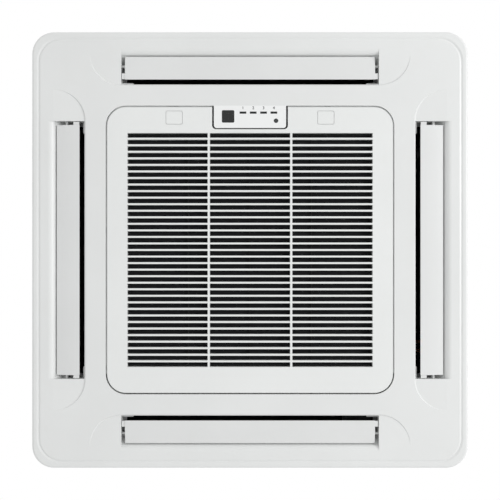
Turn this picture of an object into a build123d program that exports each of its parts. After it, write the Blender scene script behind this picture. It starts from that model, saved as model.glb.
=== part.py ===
from build123d import *
from math import asin, cos, hypot, radians, sin, sqrt
import os

os.makedirs("parts", exist_ok=True)

# A four-way ceiling cassette air conditioner, all lengths in mm.
# z = 0 is the ceiling line. The white panel hangs below it and the casing stands above it.
# The receiver side of the panel faces -Y.

# ---- shared clearances -------------------------------------------------------
seat = 0.3            # between pieces that only rest beside each other
fit = 0.1             # between a piece and the hole that it is fixed in
hinge_play = 0.25     # radial play of a hinge pin

# ---- intake grille -----------------------------------------------------------
grille_w = 622
grille_corner_r = 41
grille_gap = 3
grille_t = 2.5
grille_depth = 18
slot_pitch = 14.25
slot_open = 10.3
slot_count = 36
slot_field_w = 534
column_count = 3
rib_w = 4.7
slat_depth = 12
slat_frame = 3

# ---- front panel -------------------------------------------------------------
panel_drop = 40
panel_wall = 3.5
panel_corner_r = 48
panel_edge_r = 6
panel_overlap = 55
groove_inset = 15
groove_w = 8
groove_depth = 1.5
groove_corner_r = 54
duct_wall = 2.5
ledge_w = 29
ledge_t = 2.5
collar_rise = 1
rebate_rise = 7
rebate_play = 0.6

# ---- outlets, one on each side of the grille ---------------------------------
outlet_offset = 49.4
outlet_len = 561.5
outlet_w = 78.6
outlet_lip_w = 14.5
outlet_lip_h = 12
outlet_throat_w = 44.6
outlet_shelf_len = 24.2
outlet_shelf_w = 6
outlet_shelf_rise = 20
recess_r = 68
recess_depth = 2.6
recess_draft = 45

# ---- air flaps ---------------------------------------------------------------
flap_slit = 11.1
flap_chord = 50.5
flap_end_gap = 8.2
flap_t = 5.5
flap_drop = 2.5
flap_tilt = 7
flap_pivot_in = 20
flap_pivot_rise = 18
flap_pin_r = 3
flap_ear_r = 6
flap_ear_t = 4
flap_tab_w = 12.5
flap_tab_t = 2.2
flap_tab_play = 1.2
stepper_r = 14
stepper_h = 19

# ---- push catches, receiver and grille hinges --------------------------------
pad_x = 165
pad_inset = 23
pad_w = 35
pad_h = 28
pad_corner_r = 3
pad_gap = 0.8
receiver_w = 157
receiver_len = 48.5
receiver_corner_r = 6
receiver_side_gap = 4
receiver_end_gap = 2.8
receiver_depth = 20
receiver_wall = 2
window_size = 27
window_r = 2.8
window_x = -47.7
window_y_in = 23.4
bar_w = 14.4
bar_h = 4.6
bar_x = 18.25
bar_pitch = 22.4
bar_count = 4
bar_y_in = 15.2
button_r = 4.65
button_x = 56.6
button_y_in = 32.8
button_travel = 1
hinge_x = 180
hinge_inset = 21
hinge_rise = 6.5
hinge_pin_r = 2
hinge_knuckle_w = 16
hinge_knuckle_t = 1.6
hinge_ear_t = 4

# ---- filter ------------------------------------------------------------------
filter_margin = 4
filter_bar = 8
filter_t = 5
filter_rib = 3
mesh_t = 0.6

# ---- casing ------------------------------------------------------------------
sheet = 1.2
side_foam_t = 14
top_foam_t = 12
pan_rim = 14.8
corner_cut = 100
bead_h = 2
bead_w = 16
seal_t = 5
seal_w = 8
seam_w = 0.2

# ---- drain pan ---------------------------------------------------------------
pan_h = 50
pan_duct_back = 2
pan_duct_w = 45.6
pan_opening_in = 5
trough_d = 22
trough_play = 5
sump_r = 36
corner_back = 8.5
sump_d = 10
plug_r = 9
plug_play = 1.5

# ---- coil --------------------------------------------------------------------
coil_duct_gap = 15.4
coil_depth = 45
coil_bend_r = 40
coil_open = 145
coil_foot = 6
end_plate_t = 1.5
tube_r = 3.5
tube_pitch = 56
tube_rows = 3

# ---- fan and motor -----------------------------------------------------------
fan_r = 240
fan_h = 145
eye_r = 172
fan_sheet = 2.5
blade_count = 7
blade_t = 9
blade_sweep = 46
hub_r = 92
hub_drop = 78
boss_h = 22
fan_head_gap = 20
motor_r = 62
motor_h = 66
shaft_r = 5
nut_h = 8
nut_af = 17
mouth_gap = 5
mouth_h = 62
mouth_flare = 48
mouth_lap = 8
mouth_sheet = 2
mouth_rebate = 8
mouth_recess = 10

# ---- electrics under the bell mouth ------------------------------------------
box_w = 300
box_len = 82
box_h = 28
box_wall = 1.6
box_inset = 6

# ---- hanging, pipes and drain ------------------------------------------------
hanger_pitch = 780
hanger_z = 120
hanger_t = 2.5
hanger_w = 70
hanger_slot_w = 12
hanger_slot_l = 28
strap_t = 2
strap_w = 30
panel_screw_r = 2.4
boss_w = 13
gas_pipe_r = 7.94
liquid_pipe_r = 4.76
pipe_reach = 45
drain_port_r = 16
drain_x = 285
drain_z = 185
gas_pipe_z = 180
liquid_pipe_z = 140
entry_half = 14
plate_margin = 33
cable_r = 8

# ---- places worked out from the sizes above ----------------------------------
face_z = -panel_drop
grille_half = grille_w / 2
opening_half = grille_half + grille_gap
outlet_in = grille_half + outlet_offset
outlet_half = outlet_len / 2
duct_in = outlet_in - pan_duct_back
duct_out = duct_in + pan_duct_w
body_half = duct_out + pan_rim + sheet
panel_w = 2 * (body_half + panel_overlap)
slot_field_h = slot_count * slot_pitch - (slot_pitch - slot_open)
column_w = (slot_field_w - (column_count - 1) * rib_w) / column_count
pivot_y = grille_half - hinge_inset
pivot_z = face_z + hinge_rise
ledge_z = pivot_z + hypot(hinge_inset, grille_depth - hinge_rise) + 0.8
ledge_half = opening_half - ledge_w
flap_pivot_o = outlet_in + flap_slit + flap_chord - flap_pivot_in
flap_pivot_z = face_z + flap_pivot_rise
flap_half = outlet_half - flap_end_gap
pan_z0 = seal_t
pan_z1 = pan_z0 + pan_h
pan_opening = ledge_half - pan_opening_in
coil_out = outlet_in - coil_duct_gap
coil_in = coil_out - coil_depth
coil_end = coil_out - coil_open
coil_mid = (coil_in + coil_out) / 2
pump_at = coil_mid + trough_play
trough_z = pan_z1 - trough_d
coil_z0 = trough_z + coil_foot
mouth_z = pan_z0 + mouth_recess
mouth_top = mouth_z + mouth_h
mouth_r = eye_r - mouth_gap - mouth_sheet
fan_z0 = mouth_top - mouth_lap
fan_z1 = fan_z0 + fan_h
inner_top = fan_z1 + fan_head_gap
casing_z1 = inner_top + top_foam_t + sheet
foam_half = body_half - sheet - side_foam_t
boss_at = (opening_half + ledge_half) / 2 - grille_corner_r * 0.2
strap_z0 = pan_z0 - strap_t
side_angles = {"right": 0, "back": 90, "left": 180, "front": 270}


def casing_outline(inset, mode=Mode.ADD):
    """Square with cut corners, drawn parallel to the casing wall at an inset."""
    a = body_half - inset
    b = a - corner_cut + inset * (2 - sqrt(2))
    Polygon((a, -b), (a, b), (b, a), (-b, a), (-a, b), (-a, -b), (-b, -a), (b, -a), mode=mode)


def side_section(angle, along=0):
    """Upright plane across one side: x runs outward from the centre and y is up."""
    a = radians(angle)
    out = Vector(cos(a), sin(a), 0)
    normal = Vector(sin(a), -cos(a), 0)
    return Plane(origin=normal * along, x_dir=out, z_dir=normal)


def side_top(angle, z):
    """Level plane over one side: x runs outward and y along the side."""
    return Plane(origin=(0, 0, z), x_dir=(cos(radians(angle)), sin(radians(angle)), 0))


def rounded_square(half, radius):
    """Square of a half width with rounded corners."""
    RectangleRounded(2 * half, 2 * half, radius)


# ==== front panel =============================================================
outlet_outer = outlet_in + outlet_w
panel_half = panel_w / 2
inner_half = panel_half - panel_wall
hinge_ear_x = hinge_x - (hinge_knuckle_w + hinge_ear_t) / 2 - seat
rib_z1 = face_z + panel_drop * 0.6
# the outer wall of each outlet curls out of the panel's face
lip_r = (outlet_lip_w**2 + outlet_lip_h**2) / (2 * outlet_lip_h)
lip_turn = asin(outlet_lip_w / lip_r)

groove_at = panel_half - groove_inset
groove_straight = groove_at - groove_corner_r + groove_w / 2


def groove_section():
    """V section of the rim's groove, open at the panel's face."""
    Polygon(
        (groove_at - groove_w / 2, face_z),
        (groove_at + groove_w / 2, face_z),
        (groove_at, face_z + groove_depth),
        align=None,
    )


with BuildPart() as panel_frame:
    with BuildSketch(Plane.XY.offset(face_z)):
        rounded_square(panel_half, panel_corner_r)
    extrude(amount=panel_drop)
    fillet(panel_frame.faces().sort_by(Axis.Z)[0].edges(), panel_edge_r)
    with BuildSketch(Plane.XY.offset(face_z + panel_wall)):
        rounded_square(inner_half, panel_corner_r - panel_wall)
    extrude(amount=panel_drop - panel_wall, mode=Mode.SUBTRACT)
    # V groove round the rim: four straight runs and four quarter turns
    for angle in side_angles.values():
        with BuildSketch(side_section(angle)):
            groove_section()
        extrude(amount=groove_straight, both=True, mode=Mode.SUBTRACT)
        run_end = side_section(angle, groove_straight)
        with BuildSketch(run_end):
            groove_section()
        corner = Axis(run_end.from_local_coords((groove_straight, 0, 0)), (0, 0, -1))
        revolve(axis=corner, revolution_arc=90, mode=Mode.SUBTRACT)
    # shallow recess that fades outwards round each outlet
    for angle in side_angles.values():
        over = side_top(angle, face_z)
        tilt = asin(recess_depth / recess_r)
        recess_floor = Plane(
            origin=over.from_local_coords((outlet_in + recess_r, 0, 0)),
            x_dir=over.x_dir * cos(tilt) - over.z_dir * sin(tilt),
            z_dir=over.z_dir * cos(tilt) + over.x_dir * sin(tilt),
        )
        with BuildSketch(recess_floor):
            with Locations((0, outlet_half), (0, -outlet_half)):
                Circle(recess_r)
            with Locations((-recess_r / 2, 0)):
                Rectangle(recess_r, outlet_len)
            with Locations((recess_r, 0)):
                Rectangle(2 * recess_r, 3 * outlet_len, mode=Mode.SUBTRACT)
        extrude(amount=-panel_wall, taper=-recess_draft, mode=Mode.SUBTRACT)
    # wall round the intake, with its ledge and collar
    with BuildSketch(Plane.XY.offset(face_z + panel_wall)):
        rounded_square(opening_half + duct_wall, grille_corner_r + grille_gap + duct_wall)
    extrude(amount=ledge_z + ledge_t - face_z - panel_wall)
    with BuildSketch(Plane.XY.offset(ledge_z)):
        rounded_square(ledge_half + duct_wall, 12 + duct_wall)
    extrude(amount=collar_rise - ledge_z)
    # blocks that become the outlet ducts, with ribs out to the rim
    for angle in side_angles.values():
        with BuildSketch(side_section(angle)):
            Polygon(
                (outlet_in - duct_wall, face_z + panel_wall),
                (outlet_outer + duct_wall, face_z + panel_wall),
                (outlet_outer - outlet_lip_w + duct_wall, face_z + outlet_lip_h),
                (outlet_in + outlet_throat_w + duct_wall, 0),
                (outlet_in - duct_wall, 0),
                align=None,
            )
        extrude(amount=outlet_half + duct_wall, both=True)
        with BuildSketch(side_top(angle, face_z + panel_wall)):
            with Locations(((outlet_outer + inner_half) / 2, 0)):
                with GridLocations(0, outlet_len / 4, 1, 5):
                    Rectangle(inner_half - outlet_outer + 2, 2)
        extrude(amount=rib_z1 - face_z - panel_wall)
        with BuildSketch(side_top(angle, face_z + panel_wall)):
            with Locations(((outlet_in + opening_half) / 2, 0)):
                with GridLocations(0, outlet_len / 4, 1, 5):
                    Rectangle(outlet_in - opening_half - duct_wall, 2)
        extrude(amount=rib_z1 - face_z - panel_wall)
    # screw bosses in the ledge corners and struts from them to the panel corners
    with BuildSketch(Plane.XY.offset(ledge_z)):
        with GridLocations(2 * boss_at, 2 * boss_at, 2, 2):
            Rectangle(boss_w, boss_w, rotation=45)
    extrude(amount=strap_z0 - ledge_z)
    with BuildSketch(Plane.XY.offset(face_z + panel_wall)):
        for turn in (45, 135, 225, 315):
            with Locations(Rot(0, 0, turn)):
                with Locations(((boss_at + inner_half - panel_corner_r * 0.3) / sqrt(2), 0)):
                    Rectangle((inner_half - panel_corner_r * 0.3 - boss_at) * sqrt(2), 2)
    extrude(amount=rib_z1 - face_z - panel_wall)
    # openings: intake, ledge collar, outlets
    with BuildSketch(Plane.XY.offset(face_z)):
        rounded_square(opening_half, grille_corner_r + grille_gap)
    extrude(amount=ledge_z - face_z, mode=Mode.SUBTRACT)
    # rebate that narrows the gap behind the grille's edge, with notches for the catches
    # and the receiver, and left off round the hinges
    with BuildSketch(Plane.XY.offset(face_z + rebate_rise)):
        rounded_square(opening_half, grille_corner_r + grille_gap)
        RectangleRounded(
            grille_w + 2 * rebate_play,
            grille_w + 2 * rebate_play,
            grille_corner_r + rebate_play,
            mode=Mode.SUBTRACT,
        )
        with Locations((0, grille_half)):
            Rectangle(2 * grille_w, 2 * grille_corner_r, mode=Mode.SUBTRACT)
        with Locations((0, -opening_half)):
            Rectangle(receiver_w + 2 * receiver_side_gap, 4 * grille_gap, mode=Mode.SUBTRACT)
            with GridLocations(2 * pad_x, 0, 2, 1):
                Rectangle(pad_w / 2 + 2 * rebate_play, 4 * grille_gap, mode=Mode.SUBTRACT)
    extrude(amount=ledge_z - face_z - rebate_rise)
    with BuildSketch(Plane.XY.offset(ledge_z)):
        rounded_square(ledge_half, 12)
    extrude(amount=-ledge_z + strap_z0, mode=Mode.SUBTRACT)
    for angle in side_angles.values():
        with BuildSketch(side_section(angle)):
            with BuildLine():
                lip = ThreePointArc(
                    (outlet_outer, face_z),
                    (
                        outlet_outer - lip_r * sin(lip_turn / 2),
                        face_z + lip_r * (1 - cos(lip_turn / 2)),
                    ),
                    (outlet_outer - outlet_lip_w, face_z + outlet_lip_h),
                )
                Polyline(
                    lip @ 1,
                    (outlet_in + outlet_throat_w, 0),
                    (outlet_in, 0),
                    (outlet_in, face_z),
                    lip @ 0,
                )
            make_face()
        extrude(amount=outlet_half, both=True, mode=Mode.SUBTRACT)
        # shelf at each end of the slot, then the two pivot holes
        with BuildSketch(side_top(angle, face_z + outlet_shelf_rise)):
            with Locations((outlet_in + outlet_shelf_w / 2, 0)):
                with GridLocations(0, outlet_len - outlet_shelf_len, 1, 2):
                    Rectangle(outlet_shelf_w, outlet_shelf_len)
        extrude(amount=panel_drop - outlet_shelf_rise)
        with BuildSketch(side_section(angle)):
            with Locations((flap_pivot_o, flap_pivot_z)):
                Circle(flap_pin_r + hinge_play)
        extrude(amount=outlet_half + 2 * duct_wall, both=True, mode=Mode.SUBTRACT)
    # screw holes and hinge ears
    with BuildSketch(Plane.XY.offset(ledge_z - 1)):
        with GridLocations(2 * boss_at, 2 * boss_at, 2, 2):
            Circle(panel_screw_r + seat)
    extrude(amount=strap_z0 - ledge_z + 1, mode=Mode.SUBTRACT)
    for side in (-1, 1):
        with BuildSketch(Plane.YZ.offset(side * hinge_ear_x)):
            with Locations((pivot_y, pivot_z)):
                Circle(hinge_pin_r + hinge_knuckle_t)
            with Locations((pivot_y, (pivot_z + ledge_z) / 2)):
                Rectangle(2 * (hinge_pin_r + hinge_knuckle_t), ledge_z - pivot_z)
        extrude(amount=hinge_ear_t / 2, both=True)
panel_frame.part.label = "panel_frame"
export_step(panel_frame.part, "parts/panel_frame.step")

# Air flap: a curved blade with an ear and a pivot pin at each end
flap_in = outlet_in + flap_slit
flap_out = flap_in + flap_chord
flap_z = face_z + flap_drop
flap_rise = flap_chord * sin(radians(flap_tilt))


def air_flap(angle):
    """One flap, closed, in the outlet of the side at this angle."""
    with BuildPart() as flap:
        with BuildSketch(side_section(angle)):
            with BuildLine():
                under = ThreePointArc(
                    (flap_in, flap_z),
                    ((flap_in + flap_out) / 2, flap_z + flap_rise * 0.3),
                    (flap_out, flap_z + flap_rise),
                )
                over = ThreePointArc(
                    (flap_in, flap_z + 2),
                    ((flap_in + flap_out) / 2, flap_z + flap_rise * 0.5 + flap_t),
                    (flap_out, flap_z + flap_rise + 1.5),
                )
                Line(under @ 0, over @ 0)
                Line(under @ 1, over @ 1)
            make_face()
        extrude(amount=flap_half, both=True)
        # stiffener along the inner edge, which stands out at each end as a tab
        with BuildSketch(side_section(angle)):
            with Locations((flap_in + 1 + flap_tab_w / 2, flap_z + 1.6 + flap_tab_t / 2)):
                Rectangle(flap_tab_w, flap_tab_t)
        extrude(amount=outlet_half - flap_tab_play, both=True)
        for end in (-1, 1):
            with BuildSketch(side_section(angle, end * (flap_half - flap_ear_t / 2))):
                foot_z = flap_z + flap_rise * 0.5 + 2
                Polygon(
                    (flap_pivot_o - 2 * flap_ear_r, foot_z),
                    (flap_pivot_o + flap_ear_r, foot_z),
                    (flap_pivot_o + flap_ear_r, flap_pivot_z + flap_ear_r * 0.4),
                    (flap_pivot_o + flap_ear_r * 0.4, flap_pivot_z + flap_ear_r),
                    (flap_pivot_o - flap_ear_r * 0.4, flap_pivot_z + flap_ear_r),
                    (flap_pivot_o - flap_ear_r, flap_pivot_z + flap_ear_r * 0.4),
                    align=None,
                )
            extrude(amount=flap_ear_t / 2, both=True)
            with BuildSketch(side_section(angle, end * flap_half)):
                with Locations((flap_pivot_o, flap_pivot_z)):
                    Circle(flap_pin_r)
            extrude(amount=end * (flap_end_gap + duct_wall + 6))
    return flap.part


for side, angle in side_angles.items():
    flap_part = air_flap(angle)
    flap_part.label = "flap_" + side
    export_step(flap_part, f"parts/flap_{side}.step")

# Stepping motors that turn the flaps, each behind one end wall
stepper_at = outlet_half + duct_wall
with BuildPart() as flap_motors:
    for angle in side_angles.values():
        with BuildSketch(side_section(angle, stepper_at)):
            with Locations((flap_pivot_o, flap_pivot_z)):
                Circle(stepper_r)
        extrude(amount=stepper_h)
        with BuildSketch(side_section(angle, stepper_at)):
            with Locations((flap_pivot_o + stepper_r, flap_pivot_z)):
                Rectangle(6, stepper_r)
        extrude(amount=stepper_h * 0.8)
        with BuildSketch(side_section(angle, stepper_at)):
            with Locations((flap_pivot_o, flap_pivot_z)):
                Circle(flap_pin_r + hinge_play)
        extrude(amount=stepper_h / 2, mode=Mode.SUBTRACT)
flap_motors.part.label = "flap_motors"
export_step(flap_motors.part, "parts/flap_motors.step")

# ==== intake grille ===========================================================
slat_top = face_z + slat_depth
grille_top = face_z + grille_depth
receiver_y = -opening_half + receiver_len
notch_half = receiver_w / 2 + receiver_side_gap
notch_y = receiver_y + receiver_end_gap
notch_r = receiver_corner_r + receiver_end_gap
pad_y = -grille_half + pad_inset
corner_reach = (grille_half - grille_corner_r) * sqrt(2) + grille_corner_r - grille_t / 2

with BuildPart() as intake_grille:
    with BuildSketch(Plane.XY.offset(face_z)):
        rounded_square(grille_half, grille_corner_r)
    extrude(amount=grille_depth)
    chamfer(intake_grille.faces().sort_by(Axis.Z)[0].edges(), 0.8)
    with BuildSketch(Plane.XY.offset(face_z + grille_t)):
        rounded_square(grille_half - grille_t, grille_corner_r - grille_t)
    extrude(amount=grille_depth - grille_t, mode=Mode.SUBTRACT)
    # block for the slats, and a wall behind the receiver's notch
    with BuildSketch(Plane.XY.offset(face_z + grille_t)):
        Rectangle(slot_field_w + 2 * slat_frame, slot_field_h + 2 * slat_frame)
    extrude(amount=slat_depth - grille_t)
    with BuildSketch(Plane.XY.offset(face_z)):
        with Locations((0, (notch_y + grille_t - grille_half) / 2)):
            Rectangle(2 * notch_half + 2 * grille_t, notch_y + grille_t + grille_half)
    extrude(amount=slat_depth)
    # stiffening ribs across the corners of the frame
    with BuildSketch(Plane.XY.offset(face_z + grille_t)):
        for turn in (45, 135, 225, 315):
            with Locations(Rot(0, 0, turn)):
                reach = slot_field_h / sqrt(2)
                with Locations(((reach + corner_reach) / 2, 0)):
                    Rectangle(corner_reach - reach, 2)
    extrude(amount=slat_depth - grille_t)
    # air slots
    with BuildSketch(Plane.XY.offset(face_z)):
        with GridLocations(column_w + rib_w, slot_pitch, column_count, slot_count):
            Rectangle(column_w, slot_open)
    extrude(amount=slat_depth, mode=Mode.SUBTRACT)
    # notch for the receiver, openings for the catches
    with BuildSketch(Plane.XY.offset(face_z)):
        with Locations((0, (notch_y - opening_half) / 2 - notch_r)):
            RectangleRounded(2 * notch_half, notch_y + opening_half + 2 * notch_r, notch_r)
        with GridLocations(2 * pad_x, 0, 2, 1):
            with Locations((0, pad_y)):
                RectangleRounded(pad_w + 2 * pad_gap, pad_h + 2 * pad_gap, pad_corner_r + pad_gap)
    extrude(amount=grille_depth, mode=Mode.SUBTRACT)
    with BuildSketch(Plane.XY.offset(face_z + hinge_rise)):
        with GridLocations(2 * pad_x, 0, 2, 1):
            with Locations((0, -grille_half)):
                Rectangle(pad_w / 2 + 2 * pad_gap, 4 * grille_t)
    extrude(amount=grille_depth, mode=Mode.SUBTRACT)
    # hinge knuckles: open hooks that hang on the pins
    for hinge_side in (-1, 1):
        with BuildSketch(Plane.YZ.offset(hinge_side * hinge_x)):
            with Locations((pivot_y, pivot_z)):
                Circle(hinge_pin_r + hinge_knuckle_t)
            with Locations((pivot_y, (pivot_z + face_z + grille_t) / 2)):
                Rectangle(2 * hinge_knuckle_t + 2 * hinge_pin_r, pivot_z - face_z - grille_t)
            with Locations((pivot_y, pivot_z)):
                Circle(hinge_pin_r + hinge_play, mode=Mode.SUBTRACT)
            with Locations((pivot_y - hinge_pin_r - hinge_knuckle_t, pivot_z + hinge_pin_r / 2)):
                Rectangle(2 * hinge_knuckle_t + hinge_pin_r, hinge_pin_r, mode=Mode.SUBTRACT)
        extrude(amount=hinge_knuckle_w / 2, both=True)
intake_grille.part.label = "intake_grille"
export_step(intake_grille.part, "parts/intake_grille.step")

# Hinge pins that stand out of the panel's ears
with BuildPart() as hinge_pins:
    for hinge_side in (-1, 1):
        with BuildSketch(Plane.YZ.offset(hinge_side * (hinge_x - hinge_knuckle_w / 2 - seat))):
            with Locations((pivot_y, pivot_z)):
                Circle(hinge_pin_r)
        extrude(amount=hinge_side * (hinge_knuckle_w + 2 * seat))
hinge_pins.part.label = "grille_hinge_pins"
export_step(hinge_pins.part, "parts/grille_hinge_pins.step")

# Push catches: a pad that can be pressed from below, with a tongue to the panel's wall
pad_lip = 2
nose_w = pad_w / 2
nose_z = face_z + hinge_rise + pad_gap
for catch_side, catch_x in (("left", -pad_x), ("right", pad_x)):
    with BuildPart() as push_catch:
        with BuildSketch(Plane.XY.offset(face_z)):
            with Locations((catch_x, pad_y)):
                RectangleRounded(pad_w, pad_h, pad_corner_r)
        extrude(amount=grille_t + seat)
        with BuildSketch(Plane.XY.offset(face_z + grille_t + seat)):
            with Locations((catch_x, pad_y)):
                Rectangle(pad_w + 2 * pad_gap + 2 * pad_lip, pad_h + 2 * pad_gap + 2 * pad_lip)
        extrude(amount=1.5)
        with BuildSketch(Plane.XY.offset(face_z + grille_t + seat)):
            with Locations((catch_x, pad_y)):
                Rectangle(nose_w, pad_h * 0.7)
        extrude(amount=nose_z - face_z - grille_t - seat + 4)
        with BuildSketch(Plane.XY.offset(nose_z)):
            with Locations((catch_x, (pad_y - opening_half + seat) / 2)):
                Rectangle(nose_w, pad_y + opening_half - seat)
        extrude(amount=4)
        nose_tip = push_catch.edges().filter_by(Axis.X).group_by(Axis.Y)[0].sort_by(Axis.Z)[-1]
        chamfer(nose_tip, 2)
    push_catch.part.label = "latch_" + catch_side
    export_step(push_catch.part, f"parts/latch_{catch_side}.step")

# ==== filter ==================================================================
filter_z = slat_top + seat
filter_half_w = slot_field_w / 2 + filter_margin
filter_half_l = slot_field_h / 2 + filter_margin
with BuildPart() as filter_frame:
    with BuildSketch(Plane.XY.offset(filter_z)):
        Rectangle(2 * filter_half_w, 2 * filter_half_l)
        Rectangle(2 * (filter_half_w - filter_bar), 2 * (filter_half_l - filter_bar), mode=Mode.SUBTRACT)
        with GridLocations(filter_half_w / 2, 0, 3, 1):
            Rectangle(filter_rib, 2 * filter_half_l - filter_bar)
        with GridLocations(0, filter_half_l / 2, 1, 3):
            Rectangle(2 * filter_half_w - filter_bar, filter_rib)
    extrude(amount=filter_t - mesh_t)
    with BuildSketch(Plane.XY.offset(filter_z)):
        Rectangle(2 * filter_half_w, 2 * filter_half_l)
        Rectangle(2 * (filter_half_w - filter_bar / 2), 2 * (filter_half_l - filter_bar / 2), mode=Mode.SUBTRACT)
    extrude(amount=filter_t)
filter_frame.part.label = "filter_frame"
export_step(filter_frame.part, "parts/filter_frame.step")

with BuildPart() as filter_mesh:
    with BuildSketch(Plane.XY.offset(filter_z + filter_t - mesh_t)):
        Rectangle(2 * (filter_half_w - filter_bar / 2), 2 * (filter_half_l - filter_bar / 2))
    extrude(amount=mesh_t)
filter_mesh.part.label = "filter_mesh"
export_step(filter_mesh.part, "parts/filter_mesh.step")

# ==== receiver and manual button ==============================================
window_y = -grille_half + window_y_in - grille_gap
bar_y = -grille_half + bar_y_in - grille_gap
button_y = -grille_half + button_y_in - grille_gap
board_z = face_z + 7

with BuildPart() as receiver_housing:
    with BuildSketch(Plane.XY.offset(face_z)):
        with Locations((0, (receiver_y - opening_half) / 2)):
            Rectangle(receiver_w, receiver_len)
    extrude(amount=receiver_depth)
    fillet(receiver_housing.edges().filter_by(Axis.Z).group_by(Axis.Y)[-1], receiver_corner_r)
    offset(amount=-receiver_wall, openings=receiver_housing.faces().sort_by(Axis.Z)[-1])
    with BuildSketch(Plane.XY.offset(face_z)):
        with Locations((window_x, window_y)):
            RectangleRounded(window_size + 2 * fit, window_size + 2 * fit, window_r + fit)
        with Locations((bar_x, bar_y)):
            with GridLocations(bar_pitch, 0, bar_count, 1):
                Rectangle(bar_w + 2 * fit, bar_h + 2 * fit)
        with Locations((button_x, button_y)):
            Circle(button_r + seat)
    extrude(amount=receiver_wall, mode=Mode.SUBTRACT)
    # posts for the board
    with BuildSketch(Plane.XY.offset(face_z + receiver_wall)):
        with Locations((0, (receiver_y - opening_half) / 2)):
            with GridLocations(receiver_w - 8 * receiver_wall, receiver_len - 6 * receiver_wall, 2, 2):
                Rectangle(4, 4)
    extrude(amount=board_z - face_z - receiver_wall)
receiver_housing.part.label = "receiver_housing"
export_step(receiver_housing.part, "parts/receiver_housing.step")

with BuildPart() as receiver_window:
    with BuildSketch(Plane.XY.offset(face_z)):
        with Locations((window_x, window_y)):
            RectangleRounded(window_size, window_size, window_r)
    extrude(amount=receiver_wall)
    with BuildSketch(Plane.XY.offset(face_z + receiver_wall)):
        with Locations((window_x, window_y)):
            Rectangle(window_size + 4, window_size + 4)
    extrude(amount=1)
receiver_window.part.label = "receiver_window"
export_step(receiver_window.part, "parts/receiver_window.step")

with BuildPart() as indicator_bars:
    with BuildSketch(Plane.XY.offset(face_z)):
        with Locations((bar_x, bar_y)):
            with GridLocations(bar_pitch, 0, bar_count, 1):
                Rectangle(bar_w, bar_h)
    extrude(amount=board_z - face_z - seat)
indicator_bars.part.label = "indicator_bars"
export_step(indicator_bars.part, "parts/indicator_bars.step")

with BuildPart() as receiver_board:
    with BuildSketch(Plane.XY.offset(board_z)):
        with Locations((0, (receiver_y - opening_half) / 2)):
            Rectangle(receiver_w - 3 * receiver_wall - 4, receiver_len - 3 * receiver_wall - 4)
    extrude(amount=1.6)
    with BuildSketch(Plane.XY.offset(board_z)):
        with Locations((window_x, window_y)):
            Rectangle(window_size / 3, window_size / 3)
    extrude(amount=-(board_z - face_z - receiver_wall - 1 - seat))
    with BuildSketch(Plane.XY.offset(board_z + 1.6)):
        with Locations((0, (receiver_y - opening_half) / 2)):
            Rectangle(receiver_w / 5, receiver_len / 3)
    extrude(amount=6)
receiver_board.part.label = "receiver_board"
export_step(receiver_board.part, "parts/receiver_board.step")

with BuildPart() as manual_button:
    with BuildSketch(Plane.XY.offset(face_z)):
        with Locations((button_x, button_y)):
            Circle(button_r)
    extrude(amount=receiver_wall + seat)
    with BuildSketch(Plane.XY.offset(face_z + receiver_wall + seat)):
        with Locations((button_x, button_y)):
            Rectangle(2 * button_r + 3, 2 * button_r + 3)
    extrude(amount=board_z - face_z - receiver_wall - 2 * seat - button_travel)
manual_button.part.label = "manual_button"
export_step(manual_button.part, "parts/manual_button.step")

# ==== casing ==================================================================
gas_y = coil_end + 44
liquid_y = coil_end + 18
plate_w = gas_y - liquid_y + 2 * plate_margin
plate_h = gas_pipe_z - liquid_pipe_z + 2 * plate_margin
plate_y = (gas_y + liquid_y) / 2
plate_z = (gas_pipe_z + liquid_pipe_z) / 2
chamfer_at = (2 * body_half - corner_cut) / sqrt(2)
corner_turns = (45, 135, 225, 315)


def corner_plane(turn, out, z):
    """Upright plane facing out over one corner, at a distance from the centre."""
    a = radians(turn)
    ahead = Vector(cos(a), sin(a), 0)
    return Plane(origin=ahead * out + Vector(0, 0, z), x_dir=(-sin(a), cos(a), 0), z_dir=ahead)


with BuildPart() as chassis_top:
    with BuildSketch(Plane.XY.offset(casing_z1 - sheet)):
        casing_outline(0)
    extrude(amount=sheet)
    # pressed beads
    with BuildSketch(Plane.XY.offset(casing_z1)):
        RegularPolygon(hub_r + 2 * bead_w, 8)
        RegularPolygon(hub_r + bead_w, 8, mode=Mode.SUBTRACT)
        with PolarLocations((hub_r + 3 * bead_w + body_half * 0.88) / 2, 8, 22.5):
            Rectangle(body_half * 0.88 - hub_r - 3 * bead_w, bead_w)
    extrude(amount=bead_h, taper=30)
chassis_top.part.label = "chassis_top"
export_step(chassis_top.part, "parts/chassis_top.step")

# Side panels: four long ones with the openings, and four across the cut corners
with BuildPart() as chassis_sides:
    with BuildSketch(Plane.XY.offset(pan_z0)):
        casing_outline(0)
        casing_outline(sheet, Mode.SUBTRACT)
        for turn in corner_turns:
            for mirrored in (-1, 1):
                with Locations(Rot(0, 0, turn + mirrored * 45)):
                    with Locations((body_half, -mirrored * (body_half - corner_cut))):
                        Rectangle(4 * sheet, seam_w, rotation=-mirrored * 22.5, mode=Mode.SUBTRACT)
    extrude(amount=casing_z1 - sheet - pan_z0)
    with BuildSketch(Plane.YZ.offset(body_half - 2 * sheet)):
        with Locations((plate_y, plate_z)):
            Rectangle(plate_w - 20, plate_h - 20)
        with Locations((-plate_y, plate_z)):
            Rectangle(2 * entry_half, 2 * entry_half)
    extrude(amount=4 * sheet, mode=Mode.SUBTRACT)
    with BuildSketch(Plane.XZ.offset(-body_half - sheet)):
        with Locations((drain_x, drain_z)):
            Circle(drain_port_r + fit)
    extrude(amount=3 * sheet, mode=Mode.SUBTRACT)
chassis_sides.part.label = "chassis_sides"
export_step(chassis_sides.part, "parts/chassis_sides.step")

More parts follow.
